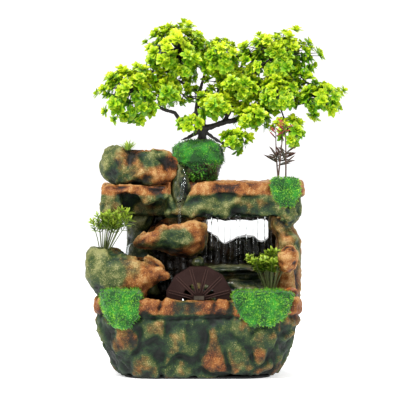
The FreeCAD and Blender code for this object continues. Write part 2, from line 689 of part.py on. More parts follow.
# Leaf clumps as shares of the crown: centre across, back and up, then their radii.
foliage_pads = {
    "foliage_left": ((0.06, -0.1, 0.33, 0.06, 0.17, 0.12), (0.155, -0.04, 0.5, 0.09, 0.2, 0.15),
                     (0.19, -0.06, 0.3, 0.06, 0.18, 0.09)),
    "foliage_crown": ((0.25, 0.0, 0.72, 0.075, 0.22, 0.13), (0.37, 0.0, 0.87, 0.085, 0.25, 0.13),
                      (0.36, 0.0, 0.6, 0.06, 0.25, 0.13), (0.49, 0.02, 0.7, 0.065, 0.26, 0.15),
                      (0.275, -0.02, 0.44, 0.045, 0.2, 0.13)),
    "foliage_right": ((0.56, 0.05, 0.47, 0.08, 0.28, 0.11), (0.67, 0.04, 0.78, 0.09, 0.2, 0.15),
                      (0.81, 0.02, 0.66, 0.075, 0.22, 0.14), (0.73, 0.0, 0.42, 0.075, 0.26, 0.15),
                      (0.9, -0.02, 0.38, 0.085, 0.18, 0.13)),
    "foliage_low": ((0.47, -0.03, 0.31, 0.065, 0.28, 0.08), (0.62, -0.04, 0.22, 0.06, 0.22, 0.09),
                    (0.55, -0.14, 0.04, 0.045, 0.1, 0.09), (0.77, -0.1, 0.12, 0.06, 0.12, 0.11),
                    (0.36, -0.12, 0.17, 0.05, 0.1, 0.05)),
}


def make_foliage(pads, trunk, taken):
    """A group of leaf clumps, pushed onto the branches that reach into them. Adds them to taken."""
    clumps = []
    for u, v, w, ru, rv, rw in pads:
        clump = ellipsoid(crown_point(u, v, w), (ru * crown_w, rv * crown_d, rw * crown_h)).cut(trunk)
        for other in taken:
            if clump.BoundBox.intersect(other.BoundBox):
                clump = clump.cut(other)
        clumps.append(max(clump.Solids, key=lambda s: s.Volume))
        taken.append(clumps[-1])
    return Part.makeCompound(clumps)


# ---- small plants ----
def spray(foot, count, height, lean, radius, phase=0.0):
    """Stems that fan out from one foot, each with a slight bend."""
    stems = []
    for k in range(count):
        turn = 2 * math.pi * k / count + phase
        out = lean * (0.6 + 0.4 * math.sin(3.0 * k + phase))
        dx, dy = out * math.cos(turn), out * 0.5 * math.sin(turn)
        near = 2.5 * radius
        points = [(foot[0] + near * math.cos(turn), foot[1] + near * math.sin(turn), foot[2]),
                  (foot[0] + near * math.cos(turn) + dx * 0.35, foot[1] + near * math.sin(turn) + dy * 0.35,
                   foot[2] + height * 0.55),
                  (foot[0] + near * math.cos(turn) + dx, foot[1] + near * math.sin(turn) + dy,
                   foot[2] + height)]
        stems.append(limb(points, [radius, radius * 0.85, radius * 0.4], sides=6))
    return stems


def make_red_plant(foot):
    """The tall plant over the trough: three stems with narrow leaves, as one moulding per stem."""
    stems = []
    for n, (dx, dy, height, lean) in enumerate(((-3.5, 0.0, 52.0, -4.0), (0.5, 3.5, 46.0, -2.0),
                                                (4.5, -1.0, 56.0, 7.0))):
        base = (foot[0] + dx, foot[1] + dy, foot[2])
        tip = (base[0] + lean, base[1] + dy, base[2] + height)
        pieces = [limb([base, (base[0] + lean * 0.2, base[1], base[2] + height * 0.5), tip],
                       [0.9, 0.8, 0.4], sides=6)]
        for k in range(4):
            share = 0.42 + 0.16 * k
            turn = math.radians(180 * n + 62 * k + 20 * dx)
            reach = 11.0 - 1.2 * k
            start = (base[0] + lean * share ** 2, base[1] + dy * share ** 2, base[2] + height * share)
            end = (start[0] + reach * math.cos(turn), start[1] + reach * 0.4 * math.sin(turn) - 2.0 * dy / 3,
                   start[2] + 6.0)
            pieces.append(limb([start, end], [0.8, 0.3], sides=6))
        stems.append(fuse_all(pieces))
    kept = [stems[0]]
    for stem in stems[1:]:
        kept.append(max(cut_all(stem, kept).Solids, key=lambda s: s.Volume))
    return Part.makeCompound(kept)


# ---- wheel ----
wheel_x = 1.5
wheel_z = rim_z
wheel_y0 = y_front + wall_t + wheel_front_gap
wheel_y1 = wheel_y0 + wheel_w


def polar(radius, degrees):
    """A point on the wheel's face, from its own centre."""
    angle = math.radians(degrees)
    return (wheel_x + radius * math.cos(angle), wheel_z + radius * math.sin(angle))


def wheel_room():
    """The space that the wheel turns in, which nothing fixed may enter."""
    return cylinder(wheel_r + wheel_gap, (wheel_x, wheel_y0 - wheel_gap / 2, wheel_z), (0, 1, 0),
                    wheel_w + wheel_gap)


def make_wheel_plate(y0):
    """A side plate: a polygon with its corners at the paddles, and a window between each two spokes."""
    pitch = 360 / paddle_count
    outer = prism_y([polar(wheel_r, 15 + pitch * k) for k in range(paddle_count)], y0, y0 + wheel_plate_t)
    plate = outer.cut(cylinder(hub_r, (wheel_x, y0 - overrun, wheel_z), (0, 1, 0), wheel_plate_t + 2 * overrun))
    spoke = 7.0  # degrees each side of a paddle that stay solid
    for k in range(paddle_count):
        middle = 15 + pitch * k
        low, high = middle + spoke, middle + pitch - spoke
        window = [polar(hub_r + 3.0, middle + 11), polar(hub_r + 3.0, middle + pitch - 11),
                  polar(wheel_r * 0.5, high), polar(wheel_r * 0.5, low)]
        plate = plate.cut(prism_y(window, y0 - overrun, y0 + wheel_plate_t + overrun))
    return plate


def make_wheel_paddles():
    """The paddles between the two plates, each a separate flat blade."""
    blades = []
    for k in range(paddle_count):
        blade = box(wheel_x + hub_r, wheel_x + wheel_r - 0.6, wheel_y0 + wheel_plate_t, wheel_y1 - wheel_plate_t,
                    wheel_z - paddle_t / 2, wheel_z + paddle_t / 2)
        blade.rotate(Vector(wheel_x, 0, wheel_z), Vector(0, 1, 0), -15 - 360 / paddle_count * k)
        blades.append(blade.cut(cylinder(hub_r, (wheel_x, wheel_y0, wheel_z), (0, 1, 0), wheel_w)))
    return Part.makeCompound(blades)


def make_wheel_hub():
    """The hub through both plates, bored for the axle."""
    proud = 0.8
    hub = cylinder(hub_r, (wheel_x, wheel_y0 - proud, wheel_z), (0, 1, 0), wheel_w + 2 * proud)
    return hub.cut(cylinder(axle_r, (wheel_x, wheel_y0 - 2, wheel_z), (0, 1, 0), wheel_w + 4))


axle_y0 = y_front + wall_t + 1.5
post_y0 = wheel_y1 + post_gap
axle_y1 = post_y0 + post_t - 1.0


def make_wheel_axle():
    """The steel axle, a press fit in the hub."""
    return cylinder(axle_r, (wheel_x, axle_y0, wheel_z), (0, 1, 0), axle_y1 - axle_y0)


def make_rear_post():
    """The post behind the wheel, from the basin's floor, with a blind bore for the axle."""
    top = wheel_z + post_w / 2 + 1
    foot_w, foot_t = 22.0, 3.0
    post = box(wheel_x - post_w / 2, wheel_x + post_w / 2, post_y0, post_y0 + post_t, floor_z, top)
    foot = box(wheel_x - foot_w / 2, wheel_x + foot_w / 2, post_y0, post_y0 + post_t + 5, floor_z,
               floor_z + foot_t)
    bore = cylinder(axle_r + axle_gap, (wheel_x, post_y0 - overrun, wheel_z), (0, 1, 0),
                    overrun + post_t - 0.7)
    return post.fuse(foot).removeSplitter().cut(bore)


def make_front_bearing(basin):
    """The small block on the front wall's inner face that holds the axle's front end."""
    y1 = wheel_y0 - 1.4
    block = box(wheel_x - post_w / 2, wheel_x + post_w / 2, y_front + 1.0, y1, wheel_z - 12.0, wheel_z + 3.5)
    above = box(x_left, x_right, y_front - 9, y_front + wall_t - front_bow + 2.0, rim_z, deck_z)
    bore = cylinder(axle_r + axle_gap, (wheel_x, axle_y0 - 0.3, wheel_z), (0, 1, 0), 20)
    return max(cut_all(block, [basin, above, bore]).Solids, key=lambda s: s.Volume)


# ---- pump ----
volute_x1 = hose_x + volute_w / 2
volute_x0 = volute_x1 - volute_w
pump_x0 = volute_x0
pump_x1 = pump_x0 + pump_l
pump_z0 = floor_z + cup_h
pump_z1 = pump_z0 + pump_h
pump_y0 = rotor_y - pump_w / 2
pump_y1 = rotor_y + pump_w / 2
rotor_x1 = pump_x1 - 8.0
cover_x1 = volute_x0 - 2.0
cover_x0 = cover_x1 - cover_l
dial_face = cover_x0 - dial_gap
dial_x0 = dial_face - dial_t - dial_grip_h


def along_x(radius, x0, x1, y=rotor_y, z=rotor_z):
    """A cylinder along X, on the rotor's axis unless told otherwise."""
    return cylinder(radius, (x0, y, z), (1, 0, 0), x1 - x0)


def make_pump_housing():
    """The pump's body: rotor bore and volute open at the left, motor pocket at the right."""
    body = box(pump_x0, pump_x1, pump_y0, pump_y1, pump_z0, pump_z1)
    edges = [e for e in body.Edges if abs(e.Vertexes[0].X - e.Vertexes[-1].X) > pump_l / 2]
    body = body.makeFillet(3.5, edges)
    volute = along_x(volute_r, volute_x0 - overrun, volute_x1)
    rotor_way = along_x(rotor_r + rotor_gap, volute_x1 - overrun, rotor_x1)
    rear_bush = along_x(bush_r, rotor_x1 - overrun, rotor_x1 + bush_l)
    outlet = cylinder(hose_bore_r - 1.0, (hose_x, hose_y, rotor_z), (0, 0, 1), pump_h)
    coil_space = box(volute_x1 + 3, pump_x1 - 2, pump_y0 + 3, pump_y1 - 3, pump_z0 + 1.6, rotor_z - rotor_r - 2.2)
    return cut_all(body, [volute, rotor_way, rear_bush, outlet, coil_space])


def make_motor_core():
    """The stack of iron plates under the rotor."""
    return box(volute_x1 + 4, volute_x1 + 8, pump_y0 + 4, pump_y1 - 4, pump_z0 + 2, rotor_z - rotor_r - 2.6)


def make_motor_coil():
    """The copper winding beside the core."""
    return box(volute_x1 + 9, pump_x1 - 3, pump_y0 + 5, pump_y1 - 5, pump_z0 + 2, rotor_z - rotor_r - 2.6)


def make_volute_cover():
    """The plate over the volute, with intake holes round the front bush's seat."""
    plate = box(cover_x1, volute_x0, pump_y0, pump_y1, pump_z0, pump_z1)
    holes = []
    for k in range(6):
        angle = math.radians(60 * k + 30)
        holes.append(along_x(1.7, cover_x1 - 1, volute_x0 + 1, rotor_y + 6 * math.cos(angle),
                             rotor_z + 6 * math.sin(angle)))
    return cut_all(plate, [along_x(bush_r, cover_x1 - 1, volute_x0 + 1), *holes])


def make_shaft_bushes():
    """Two rubber bushes that hold the shaft's ends."""
    bore = along_x(shaft_r, cover_x1 - 9, pump_x1)
    front = along_x(bush_r, cover_x1, volute_x0).cut(bore)
    back = along_x(bush_r, rotor_x1, rotor_x1 + bush_l).cut(bore)
    return Part.makeCompound([front, back])


def make_impeller():
    """The vane wheel: a hub with straight vanes in the volute."""
    hub = along_x(4.0, volute_x0 + 0.8, volute_x1 - 0.2)
    vanes = []
    for k in range(vane_count):
        vane = box(volute_x0 + 1.0, volute_x1 - 1.0, rotor_y, rotor_y + volute_r - 1.5,
                   rotor_z - vane_t / 2, rotor_z + vane_t / 2)
        vane.rotate(Vector(0, rotor_y, rotor_z), Vector(1, 0, 0), 360 / vane_count * k)
        vanes.append(vane)
    bore = along_x(shaft_r + axle_gap, volute_x0, volute_x1 + 1)
    return fuse_all([hub, *vanes]).cut(bore)


def make_rotor_magnet():
    """The ferrite rotor behind the vanes."""
    body = along_x(rotor_r, volute_x1 - 0.2, rotor_x1 - 0.8)
    return body.cut(along_x(shaft_r + axle_gap, volute_x0, rotor_x1))


def make_intake_cover():
    """The slotted strainer that pulls off the pump's left end, with a pivot hole for the dial."""
    outer = box(cover_x0, cover_x1, pump_y0, pump_y1, pump_z0, pump_z1)
    inner = box(cover_x0 + cover_t, cover_x1 + overrun, pump_y0 + cover_t, pump_y1 - cover_t,
                pump_z0 + cover_t, pump_z1 - cover_t)
    slots = []
    for k in range(5):
        y = rotor_y + (k - 2) * 5.0
        for z0 in (pump_z0 + 3.5, pump_z1 - 8.0):
            slots.append(box(cover_x0 - 1, cover_x0 + cover_t + 1, y - 1.0, y + 1.0, z0, z0 + 4.5))
    pivot = along_x(1.5 + axle_gap, cover_x0 - 1, cover_x0 + cover_t + 1)
    return cut_all(outer.cut(inner), [*slots, pivot])


def make_flow_dial():
    """The regulating dial on the strainer: a disc with a grip bar and a pivot pin."""
    disc = along_x(dial_r, dial_face - dial_t, dial_face)
    pin = along_x(1.5, dial_face - overrun, cover_x0 + cover_t + 1.0)
    grip = box(dial_x0, dial_face - dial_t + overrun, rotor_y - 1.2, rotor_y + 1.2, rotor_z - dial_r + 1,
               rotor_z + dial_r - 1)
    return fuse_all([disc, pin, grip])


def make_pump_nozzle():
    """The outlet: a collar on the pump's top and a barb inside the hose."""
    collar_h, barb_h = 4.0, 12.0
    collar = cylinder(hose_r, (hose_x, hose_y, pump_z1), (0, 0, 1), collar_h)
    barb = cylinder(hose_bore_r, (hose_x, hose_y, pump_z1), (0, 0, 1), collar_h + barb_h)
    bore = cylinder(hose_bore_r - 1.0, (hose_x, hose_y, pump_z1 - 1), (0, 0, 1), collar_h + barb_h + 2)
    trim = box(x_left, x_right, pump_y0, y_back - wall_t - 0.2, 0, deck_z)
    return collar.fuse(barb).cut(bore).common(trim).removeSplitter()


hose_z0 = pump_z1 + 4.0
hose_z1 = slab_z + bowl_wall


def make_supply_hose():
    """The clear hose from the pump's barb up to the upper bowl's floor."""
    outer = cylinder(hose_r, (hose_x, hose_y, hose_z0), (0, 0, 1), hose_z1 - hose_z0)
    return outer.cut(cylinder(hose_bore_r, (hose_x, hose_y, hose_z0 - 1), (0, 0, 1), hose_z1 - hose_z0 + 2))


def make_bowl_inlet():
    """The flanged fitting that ends the hose in the upper bowl's floor."""
    flange_t, barb_h = 2.0, 10.0
    flange = cylinder(inlet_flange_r, (hose_x, hose_y, hose_z1), (0, 0, 1), flange_t)
    barb = cylinder(hose_bore_r, (hose_x, hose_y, hose_z1 - barb_h), (0, 0, 1), barb_h + flange_t)
    bore = cylinder(hose_bore_r - 1.0, (hose_x, hose_y, hose_z1 - barb_h - 1), (0, 0, 1), barb_h + 9)
    return flange.fuse(barb).cut(bore).removeSplitter()


def make_suction_cups():
    """Four rubber cups under the pump."""
    cups = []
    for x in (pump_x0 + cup_r + 1, pump_x1 - cup_r - 1):
        for y in (pump_y0 + cup_r + 1, pump_y1 - cup_r - 1):
            cups.append(Part.makeCone(cup_r, cup_r * 0.4, cup_h, Vector(x, y, floor_z)))
    return Part.makeCompound(cups)


def make_cord_gland():
    """The rubber boot where the lead enters the pump."""
    length = 9.0
    boot = Part.makeCone(4.2, 3.0, length, Vector(pump_x1, rotor_y, rotor_z), Vector(1, 0, 0))
    return boot.cut(along_x(1.8, pump_x1 + 3, pump_x1 + length + 1))


# ---- assembly ----
def build():
    """Every sub-part by name, each made against the neighbours that it beds on."""
    basin = make_basin()
    back_wall = make_back_wall()
    arch = make_left_arch()
    column = make_left_column().cut(arch)
    trough = make_top_trough()
    upper = make_upper_boulder().cut(trough)
    room = wheel_room()
    lower = cut_all(make_lower_boulder(), [column, room])
    middle = make_middle_boulder().cut(column)
    pillar = make_right_pillar()
    ledge = make_splash_ledge(pillar).cut(room)
    plant_rock = cut_all(make_plant_rock(ledge), [pillar, room])
    pillar_stone = stone((x_right - 12.0, y_front + 34.0, rim_z + 39.0), (10.0, 12.0, 14.0),
                         [pillar, trough, plant_rock], turn=8.0)
    pebble = stone((x_right - 9.0, y_front + 26.0, rim_z + 5.0), (7.5, 8.0, 6.5),
                   [basin, pillar, plant_rock, pillar_stone])
    hanging = stone((x_right - 12.0, slab_y + 4.0, deck_z + 1.5), (10.5, 8.5, 11.0), [pillar, trough])
    ledge_stone = stone((ledge_x0 + 8.0, wall_y - ledge_d + 9.0, ledge_top + 4.0), (7.0, 7.0, 6.0),
                        [ledge, middle])
    moss_left = cut_all(basin_moss(x_left + 6.0, x_left + 46.0, 27.0, 38.0, 9.0), [basin, lower, room])
    moss_right = cut_all(basin_moss(x_right - 66.0, x_right - 8.0, 24.0, 34.0, 8.0),
                         [basin, pebble, plant_rock, room])
    top_region = rock_z((x_right - 28.0, slab_y - moss_t, slab_z - 21.0), (30.0, 17.0, 27.0),
                        ((0.0, 0.35, 0.75, 0.0, 0.3), (0.35, 0.14, 0.92, 0.0, 0.7), (0.75, 0.0, 1.0, 0.0, 1.0),
                         (1.0, 0.08, 0.94, 0.06, 0.92)), power=4.0)
    moss_top = cut_all(top_region, [trough, hanging])
    moss_top = max(moss_top.Solids, key=lambda s: s.Volume)
    root_rock = make_root_rock()
    trunk = make_trunk().cut(root_rock)
    root_moss = max(make_root_moss(root_rock, trunk).Solids, key=lambda s: s.Volume)
    pocket_z = rim_z + lower_boulder_h * 0.78
    left_foot = (lower_x0 + lower_boulder_w * 0.205, y_front + 14.0 + lower_boulder_d * 0.48, pocket_z)
    left_stems = spray(left_foot, 4, 26.0, 10.0, 0.9, 0.4)
    left_leaves = ellipsoid((left_foot[0] + 8.0, left_foot[1], left_foot[2] + 37.0), (18.0, 13.0, 15.5))
    right_foot = (x_right - wall_t - 22.0, y_front + wall_t + 31.0, rim_z + 3.0)
    right_stems = spray(right_foot, 4, 26.0, 8.0, 0.8, 0.9)
    right_leaves = ellipsoid((right_foot[0] + 1.0, right_foot[1] - 3.0, right_foot[2] + 34.0),
                             (21.0, 10.0, 15.0))
    right_leaves = right_leaves.cut(pillar_stone).cut(pillar)
    tuft_foot = (upper_x0 + upper_boulder_w * 0.36, slab_y - 3.0 + upper_boulder_d * 0.1,
                 slab_z + upper_boulder_h * 0.8)
    tuft = [s.cut(upper) for s in spray(tuft_foot, 7, 17.0, 10.0, 0.8)]
    red_plant = make_red_plant((x_right - 18.0, slab_y + 4.0, slab_z + 6.0))
    parts = {
        "base_pad": make_base_pad(),
        "basin": basin,
        "back_wall": back_wall,
        "access_door": make_access_door(),
        "left_column": column,
        "left_arch": arch,
        "top_trough": trough,
        "upper_boulder": upper,
        "middle_boulder": middle,
        "lower_boulder": lower,
        "spout_rock": make_spout_rock([upper, trough]),
        "right_pillar": pillar,
        "splash_ledge": ledge,
        "plant_rock": plant_rock,
        "pillar_stone": pillar_stone,
        "rim_pebble": pebble,
        "hanging_stone": hanging,
        "ledge_stone": ledge_stone,
        "moss_front_left": moss_left,
        "moss_front_right": moss_right,
        "moss_top_right": moss_top,
        "root_rock": root_rock,
        "root_moss": root_moss,
        "trunk": trunk,
        "grass_tuft": Part.makeCompound(tuft),
        "left_plant_stems": Part.makeCompound([cut_all(s, [left_leaves, lower]) for s in left_stems]),
        "left_plant_leaves": left_leaves,
        "right_plant_stems": Part.makeCompound([cut_all(s, [right_leaves, plant_rock]) for s in right_stems]),
        "right_plant_leaves": right_leaves,
        "red_plant": red_plant,
        "wheel_front_plate": make_wheel_plate(wheel_y0),
        "wheel_rear_plate": make_wheel_plate(wheel_y1 - wheel_plate_t),
        "wheel_paddles": make_wheel_paddles(),
        "wheel_hub": make_wheel_hub(),
        "wheel_axle": make_wheel_axle(),
        "rear_bearing_post": make_rear_post(),
        "front_bearing": make_front_bearing(basin),
        "pump_housing": make_pump_housing(),
        "motor_core": make_motor_core(),
        "motor_coil": make_motor_coil(),
        "volute_cover": make_volute_cover(),
        "shaft_bushes": make_shaft_bushes(),
        "impeller_shaft": along_x(shaft_r, cover_x1, rotor_x1 + bush_l),
        "impeller": make_impeller(),
        "rotor_magnet": make_rotor_magnet(),
        "intake_cover": make_intake_cover(),
        "flow_dial": make_flow_dial(),
        "pump_nozzle": make_pump_nozzle(),
        "suction_cups": make_suction_cups(),
        "cord_gland": make_cord_gland(),
        "supply_hose": make_supply_hose(),
        "bowl_inlet": make_bowl_inlet(),
        "cable_grommet": make_cable_grommet(),
    }
    taken = []
    for name, pads in foliage_pads.items():
        parts[name] = make_foliage(pads, trunk, taken)
    return parts


def main():
    """Builds and writes every sub-part."""
    os.makedirs("parts", exist_ok=True)
    for name, shape in build().items():
        shape.exportStep(f"parts/{name}.step")
        solids = shape.Solids
        print(f"{name:20s} solids {len(solids)} volume {sum(s.Volume for s in solids):9.0f} "
              f"valid {all(s.isValid() for s in solids)}")


main()
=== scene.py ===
"""Tabletop rockery fountain: the finished looks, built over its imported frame.

Everything is in metres in the frame's own axes: +Z up, -Y the front, +X to the right of someone who
faces the fountain. Each sub-assembly is a class, each finish is a small frozen dataclass, and main()
builds them in order.
"""
from __future__ import annotations

import json
import logging
import math
import random
from contextlib import contextmanager
from dataclasses import dataclass, field
from enum import Enum
from typing import Any, Callable, Iterable, Iterator, Optional, Sequence, Union

import bpy
import numpy as np
from mathutils import Matrix, Quaternion, Vector, noise

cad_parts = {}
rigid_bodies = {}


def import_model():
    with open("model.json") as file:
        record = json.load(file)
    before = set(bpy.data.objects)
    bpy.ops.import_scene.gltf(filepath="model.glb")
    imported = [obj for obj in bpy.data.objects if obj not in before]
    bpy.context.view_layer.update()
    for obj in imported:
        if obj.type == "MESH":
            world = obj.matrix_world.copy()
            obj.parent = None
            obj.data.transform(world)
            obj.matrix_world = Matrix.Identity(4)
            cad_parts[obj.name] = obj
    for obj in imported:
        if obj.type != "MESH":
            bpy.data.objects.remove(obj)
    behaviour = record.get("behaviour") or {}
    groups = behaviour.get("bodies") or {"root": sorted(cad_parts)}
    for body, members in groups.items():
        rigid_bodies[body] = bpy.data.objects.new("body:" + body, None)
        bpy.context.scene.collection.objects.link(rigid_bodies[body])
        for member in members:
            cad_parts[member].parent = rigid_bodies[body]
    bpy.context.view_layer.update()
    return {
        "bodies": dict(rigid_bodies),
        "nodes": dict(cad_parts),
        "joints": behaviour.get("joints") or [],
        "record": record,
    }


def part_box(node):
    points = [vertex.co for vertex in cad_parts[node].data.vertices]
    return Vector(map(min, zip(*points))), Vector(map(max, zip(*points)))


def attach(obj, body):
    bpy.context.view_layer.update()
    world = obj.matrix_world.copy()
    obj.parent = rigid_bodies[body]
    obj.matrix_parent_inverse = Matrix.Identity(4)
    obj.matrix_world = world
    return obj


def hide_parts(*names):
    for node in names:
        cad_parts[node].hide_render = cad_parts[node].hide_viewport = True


log = logging.getLogger("fountain")
MM = 0.001
PAD_TOP = 1.2 * MM
NOISE_SEED = 5
GOLDEN_TURN = 2.39996  # radians from one head to the next, so that heads spread evenly
Colour = tuple[float, float, float]
Size = tuple[float, float, float]
Route = list[tuple[Vector, float]]


class Body(Enum):
    """The bodies that new pieces move with. Dressed frame nodes stay on their own."""

    ROCKERY = "rockery"
    WHEEL = "wheel"
    TREE = "tree"
    DOOR = "door"


# ---- shading ----
class Sock:
    """A shader socket that Python arithmetic works on."""

    def __init__(self, shader: "Shader", socket: bpy.types.NodeSocket) -> None:
        """Keeps the shader that the socket belongs to."""
        self.shader = shader
        self.socket = socket

    def _math(self, operation: str, first: Any, second: Any) -> "Sock":
        """Adds one Math node."""
        return self.shader.node("ShaderNodeMath", {"operation": operation}, {0: first, 1: second})

    def __add__(self, other: Any) -> "Sock":
        """Sum."""
        return self._math("ADD", self, other)

    __radd__ = __add__

    def __sub__(self, other: Any) -> "Sock":
        """Difference."""
        return self._math("SUBTRACT", self, other)

    def __rsub__(self, other: Any) -> "Sock":
        """Reflected difference, for 1 - mask."""
        return self._math("SUBTRACT", other, self)

    def __mul__(self, other: Any) -> "Sock":
        """Product."""
        return self._math("MULTIPLY", self, other)

    __rmul__ = __mul__


class Shader:
    """One material's node tree, built from its Principled shader outwards."""

    def __init__(self, name: str) -> None:
        """Starts an empty node tree with a Principled shader and an output.

        Args:
            name: The material's name.
        """
        self.material = bpy.data.materials.new(name)
        self.material.use_nodes = True
        self.tree = self.material.node_tree
        self.tree.nodes.clear()
        self.surface = self.tree.nodes.new("ShaderNodeBsdfPrincipled")
        self.output = self.tree.nodes.new("ShaderNodeOutputMaterial")
        self.tree.links.new(self.surface.outputs[0], self.output.inputs[0])

    def node(self, kind: str, settings: Optional[dict[str, Any]] = None,
             sockets: Optional[dict[Union[int, str], Any]] = None, out: Union[int, str] = 0) -> Sock:
        """Makes any node.

        Args:
            kind: The node's type.
            settings: Properties to set first. "stops" is a colour ramp's list of (place, colour).
            sockets: Values or links for its input sockets, by index or name.
            out: Which output is wanted.

        Returns:
            The wanted output.
        """
        made = self.tree.nodes.new(kind)
        for key, value in (settings or {}).items():
            if key == "stops":
                self._set_stops(made.color_ramp, value)
            else:
                setattr(made, key, value)
        for key, value in (sockets or {}).items():
            self.feed(made.inputs[key], value)
        return Sock(self, made.outputs[out])

    @staticmethod
    def _set_stops(ramp: bpy.types.ColorRamp, stops: Sequence[tuple[float, Colour]]) -> None:
        """Gives a colour ramp its stops."""
        while len(ramp.elements) < len(stops):
            ramp.elements.new(0.5)
        for element, (place, colour) in zip(ramp.elements, stops):
            element.position = place
            element.color = (*colour, 1.0)

    def feed(self, socket: bpy.types.NodeSocket, value: Any) -> None:
        """Links or sets one input socket."""
        if isinstance(value, Sock):
            self.tree.links.new(value.socket, socket)
        elif isinstance(value, tuple) and len(value) == 3 and socket.type == "RGBA":
            socket.default_value = (*value, 1.0)
        else:
            socket.default_value = value

    def coords(self) -> Sock:
        """Object coordinates."""
        return self.node("ShaderNodeTexCoord", out="Object")

    def attribute(self, name: str) -> Sock:
        """A number that the mesh stores at its points."""
        return self.node("ShaderNodeAttribute", {"attribute_name": name}, out="Fac")

    def clouds(self, size: float, detail: float = 3.0, stretch: Size = (1, 1, 1)) -> Sock:
        """Noise of a given feature size.

        Args:
            size: The features' size in metres.
            detail: Octaves.
            stretch: How much longer the features are along each axis.

        Returns:
            The noise, about 0 to 1.
        """
        scale = tuple(1.0 / (size * s) for s in stretch)
        placed = self.node("ShaderNodeMapping", None, {"Vector": self.coords(), "Scale": scale})
        return self.node("ShaderNodeTexNoise", None, {"Vector": placed, "Scale": 1.0, "Detail": detail})

    def cells(self, size: float) -> Sock:
        """Distance to the nearest cell centre, in cells of a given size in metres."""
        return self.node("ShaderNodeTexVoronoi", None, {"Vector": self.coords(), "Scale": 1.0 / size})

    def ramp(self, value: Sock, *stops: tuple[float, Colour]) -> Sock:
        """A colour ramp over a value."""
        return self.node("ShaderNodeValToRGB", {"stops": stops}, {0: value})

    def spread(self, value: Sock, low: float, high: float, to_low: float = 0.0, to_high: float = 1.0) -> Sock:
        """Maps low..high to to_low..to_high, and holds the ends."""
        return self.node("ShaderNodeMapRange", None, {0: value, 1: low, 2: high, 3: to_low, 4: to_high})

    def fade(self, value: Sock, end: float) -> Sock:
        """1 where a value is 0, down to 0 at its end."""
        return self.spread(value, 0.0, end, 1.0, 0.0)

    def mix(self, factor: Any, first: Any, second: Any, blend: str = "MIX") -> Sock:
        """Mixes two colours."""
        return self.node("ShaderNodeMix", {"data_type": "RGBA", "blend_type": blend},
                         {0: factor, 6: first, 7: second}, out=2)

    def bump(self, height: Sock, distance: float) -> Sock:
        """A Bump node for a height.

        Args:
            height: The height, 0 to 1.
            distance: What a height of 1 stands for, in metres.

        Returns:
            The normal.
        """
        return self.node("ShaderNodeBump", None, {"Height": height, "Distance": distance, "Strength": 1.0})

    def done(self, **sockets: Any) -> bpy.types.Material:
        """Feeds the Principled shader's sockets, named with underscores for spaces.

        Args:
            sockets: Values or links, such as Base_Color.

        Returns:
            The finished material.
        """
        for key, value in sockets.items():
            self.feed(self.surface.inputs[key.replace("_", " ")], value)
        return self.material


def shaded(colour: Colour, shade: float) -> Colour:
    """A colour made lighter or darker by a factor."""
    return tuple(c * shade for c in colour)


# ---- finishes ----
@dataclass(frozen=True)
class PaintedRock:
    """Hand-painted cast resin: green wash in the hollows, rust on the swells, and pale dry-brushed edges.

    It reads three numbers that Casting stores at the points: one from hollow to ridge, which also holds
    painted light on tops and painted shade on undersides, warmth, from green to rust, and one from dry to
    running wet, whose darkening is also painted shade in the recesses.
    """

    name: str = "painted_rock"
    shade: float = 1.0
    edge: float = 1.0
    dry: float = 0.64
    soaked_and_shaded: float = 0.11
    stipple_size: float = 1.1 * MM
    mottle_size: float = 7 * MM
    patch_size: float = 26 * MM
    speck_size: float = 2.6 * MM
    tooth: float = 0.55 * MM
    depths: tuple[float, ...] = (0.08, 0.29, 0.48, 0.70, 1.0)
    green: tuple[Colour, ...] = ((0.002, 0.005, 0.003), (0.006, 0.024, 0.009), (0.022, 0.050, 0.010),
                                 (0.075, 0.098, 0.021), (0.25, 0.25, 0.09))
    rust: tuple[Colour, ...] = ((0.006, 0.003, 0.002), (0.036, 0.011, 0.003), (0.165, 0.044, 0.006),
                                (0.310, 0.110, 0.020), (0.50, 0.28, 0.10))
    speck: Colour = (0.012, 0.012, 0.006)
    chalk: Colour = (0.55, 0.45, 0.26)

    def wash(self, sh: Shader, height: Sock, colours: Sequence[Colour]) -> Sock:
        """One paint from the hollows up to the ridges."""
        return sh.ramp(height, *zip(self.depths, [shaded(colour, self.shade) for colour in colours]))

    def material(self) -> bpy.types.Material:
        """Builds the material."""
        sh = Shader(self.name)
        stipple = sh.clouds(self.stipple_size, 2.0)
        mottle = sh.clouds(self.mottle_size, 4.0)
        patch = sh.clouds(self.patch_size, 4.0)
        # the hollow-to-ridge number also carries painted light on tops and painted shade underneath
        height = sh.attribute("relief") + (mottle - 0.5) * 0.3 + (stipple - 0.5) * (0.8 * self.edge)
        green = self.wash(sh, height, self.green)
        rust = self.wash(sh, height, self.rust)
        side = sh.spread(sh.attribute("warmth") + (patch - 0.5) * 0.9 + (mottle - 0.5) * 0.35, 0.38, 0.64)
        base = sh.mix(side, green, rust)
        base = sh.mix(sh.fade(sh.cells(self.speck_size), 0.22) * 0.6, base, self.speck)
        brushed = sh.spread(stipple, 0.6, 0.72) * sh.spread(height, 0.45, 0.8)
        base = sh.mix(brushed * 0.45, base, shaded(self.chalk, self.shade))
        # wet rock is darker and glossier; the darkening also serves as painted shade in the recesses
        soak = sh.attribute("soak")
        base = sh.mix(soak, base, sh.mix(1.0, base, (self.soaked_and_shaded,) * 3, "MULTIPLY"))
        rough = sh.spread(mottle + (stipple - 0.5) * 0.5, 0.25, 0.8, self.dry - 0.14, self.dry + 0.14)
        return sh.done(Base_Color=base, Roughness=rough - soak * 0.36, Coat_Weight=soak * 0.3,
                       Coat_Roughness=0.12, Specular_IOR_Level=0.35,
                       Normal=sh.bump(stipple * 0.6 + mottle * 0.6, self.tooth))


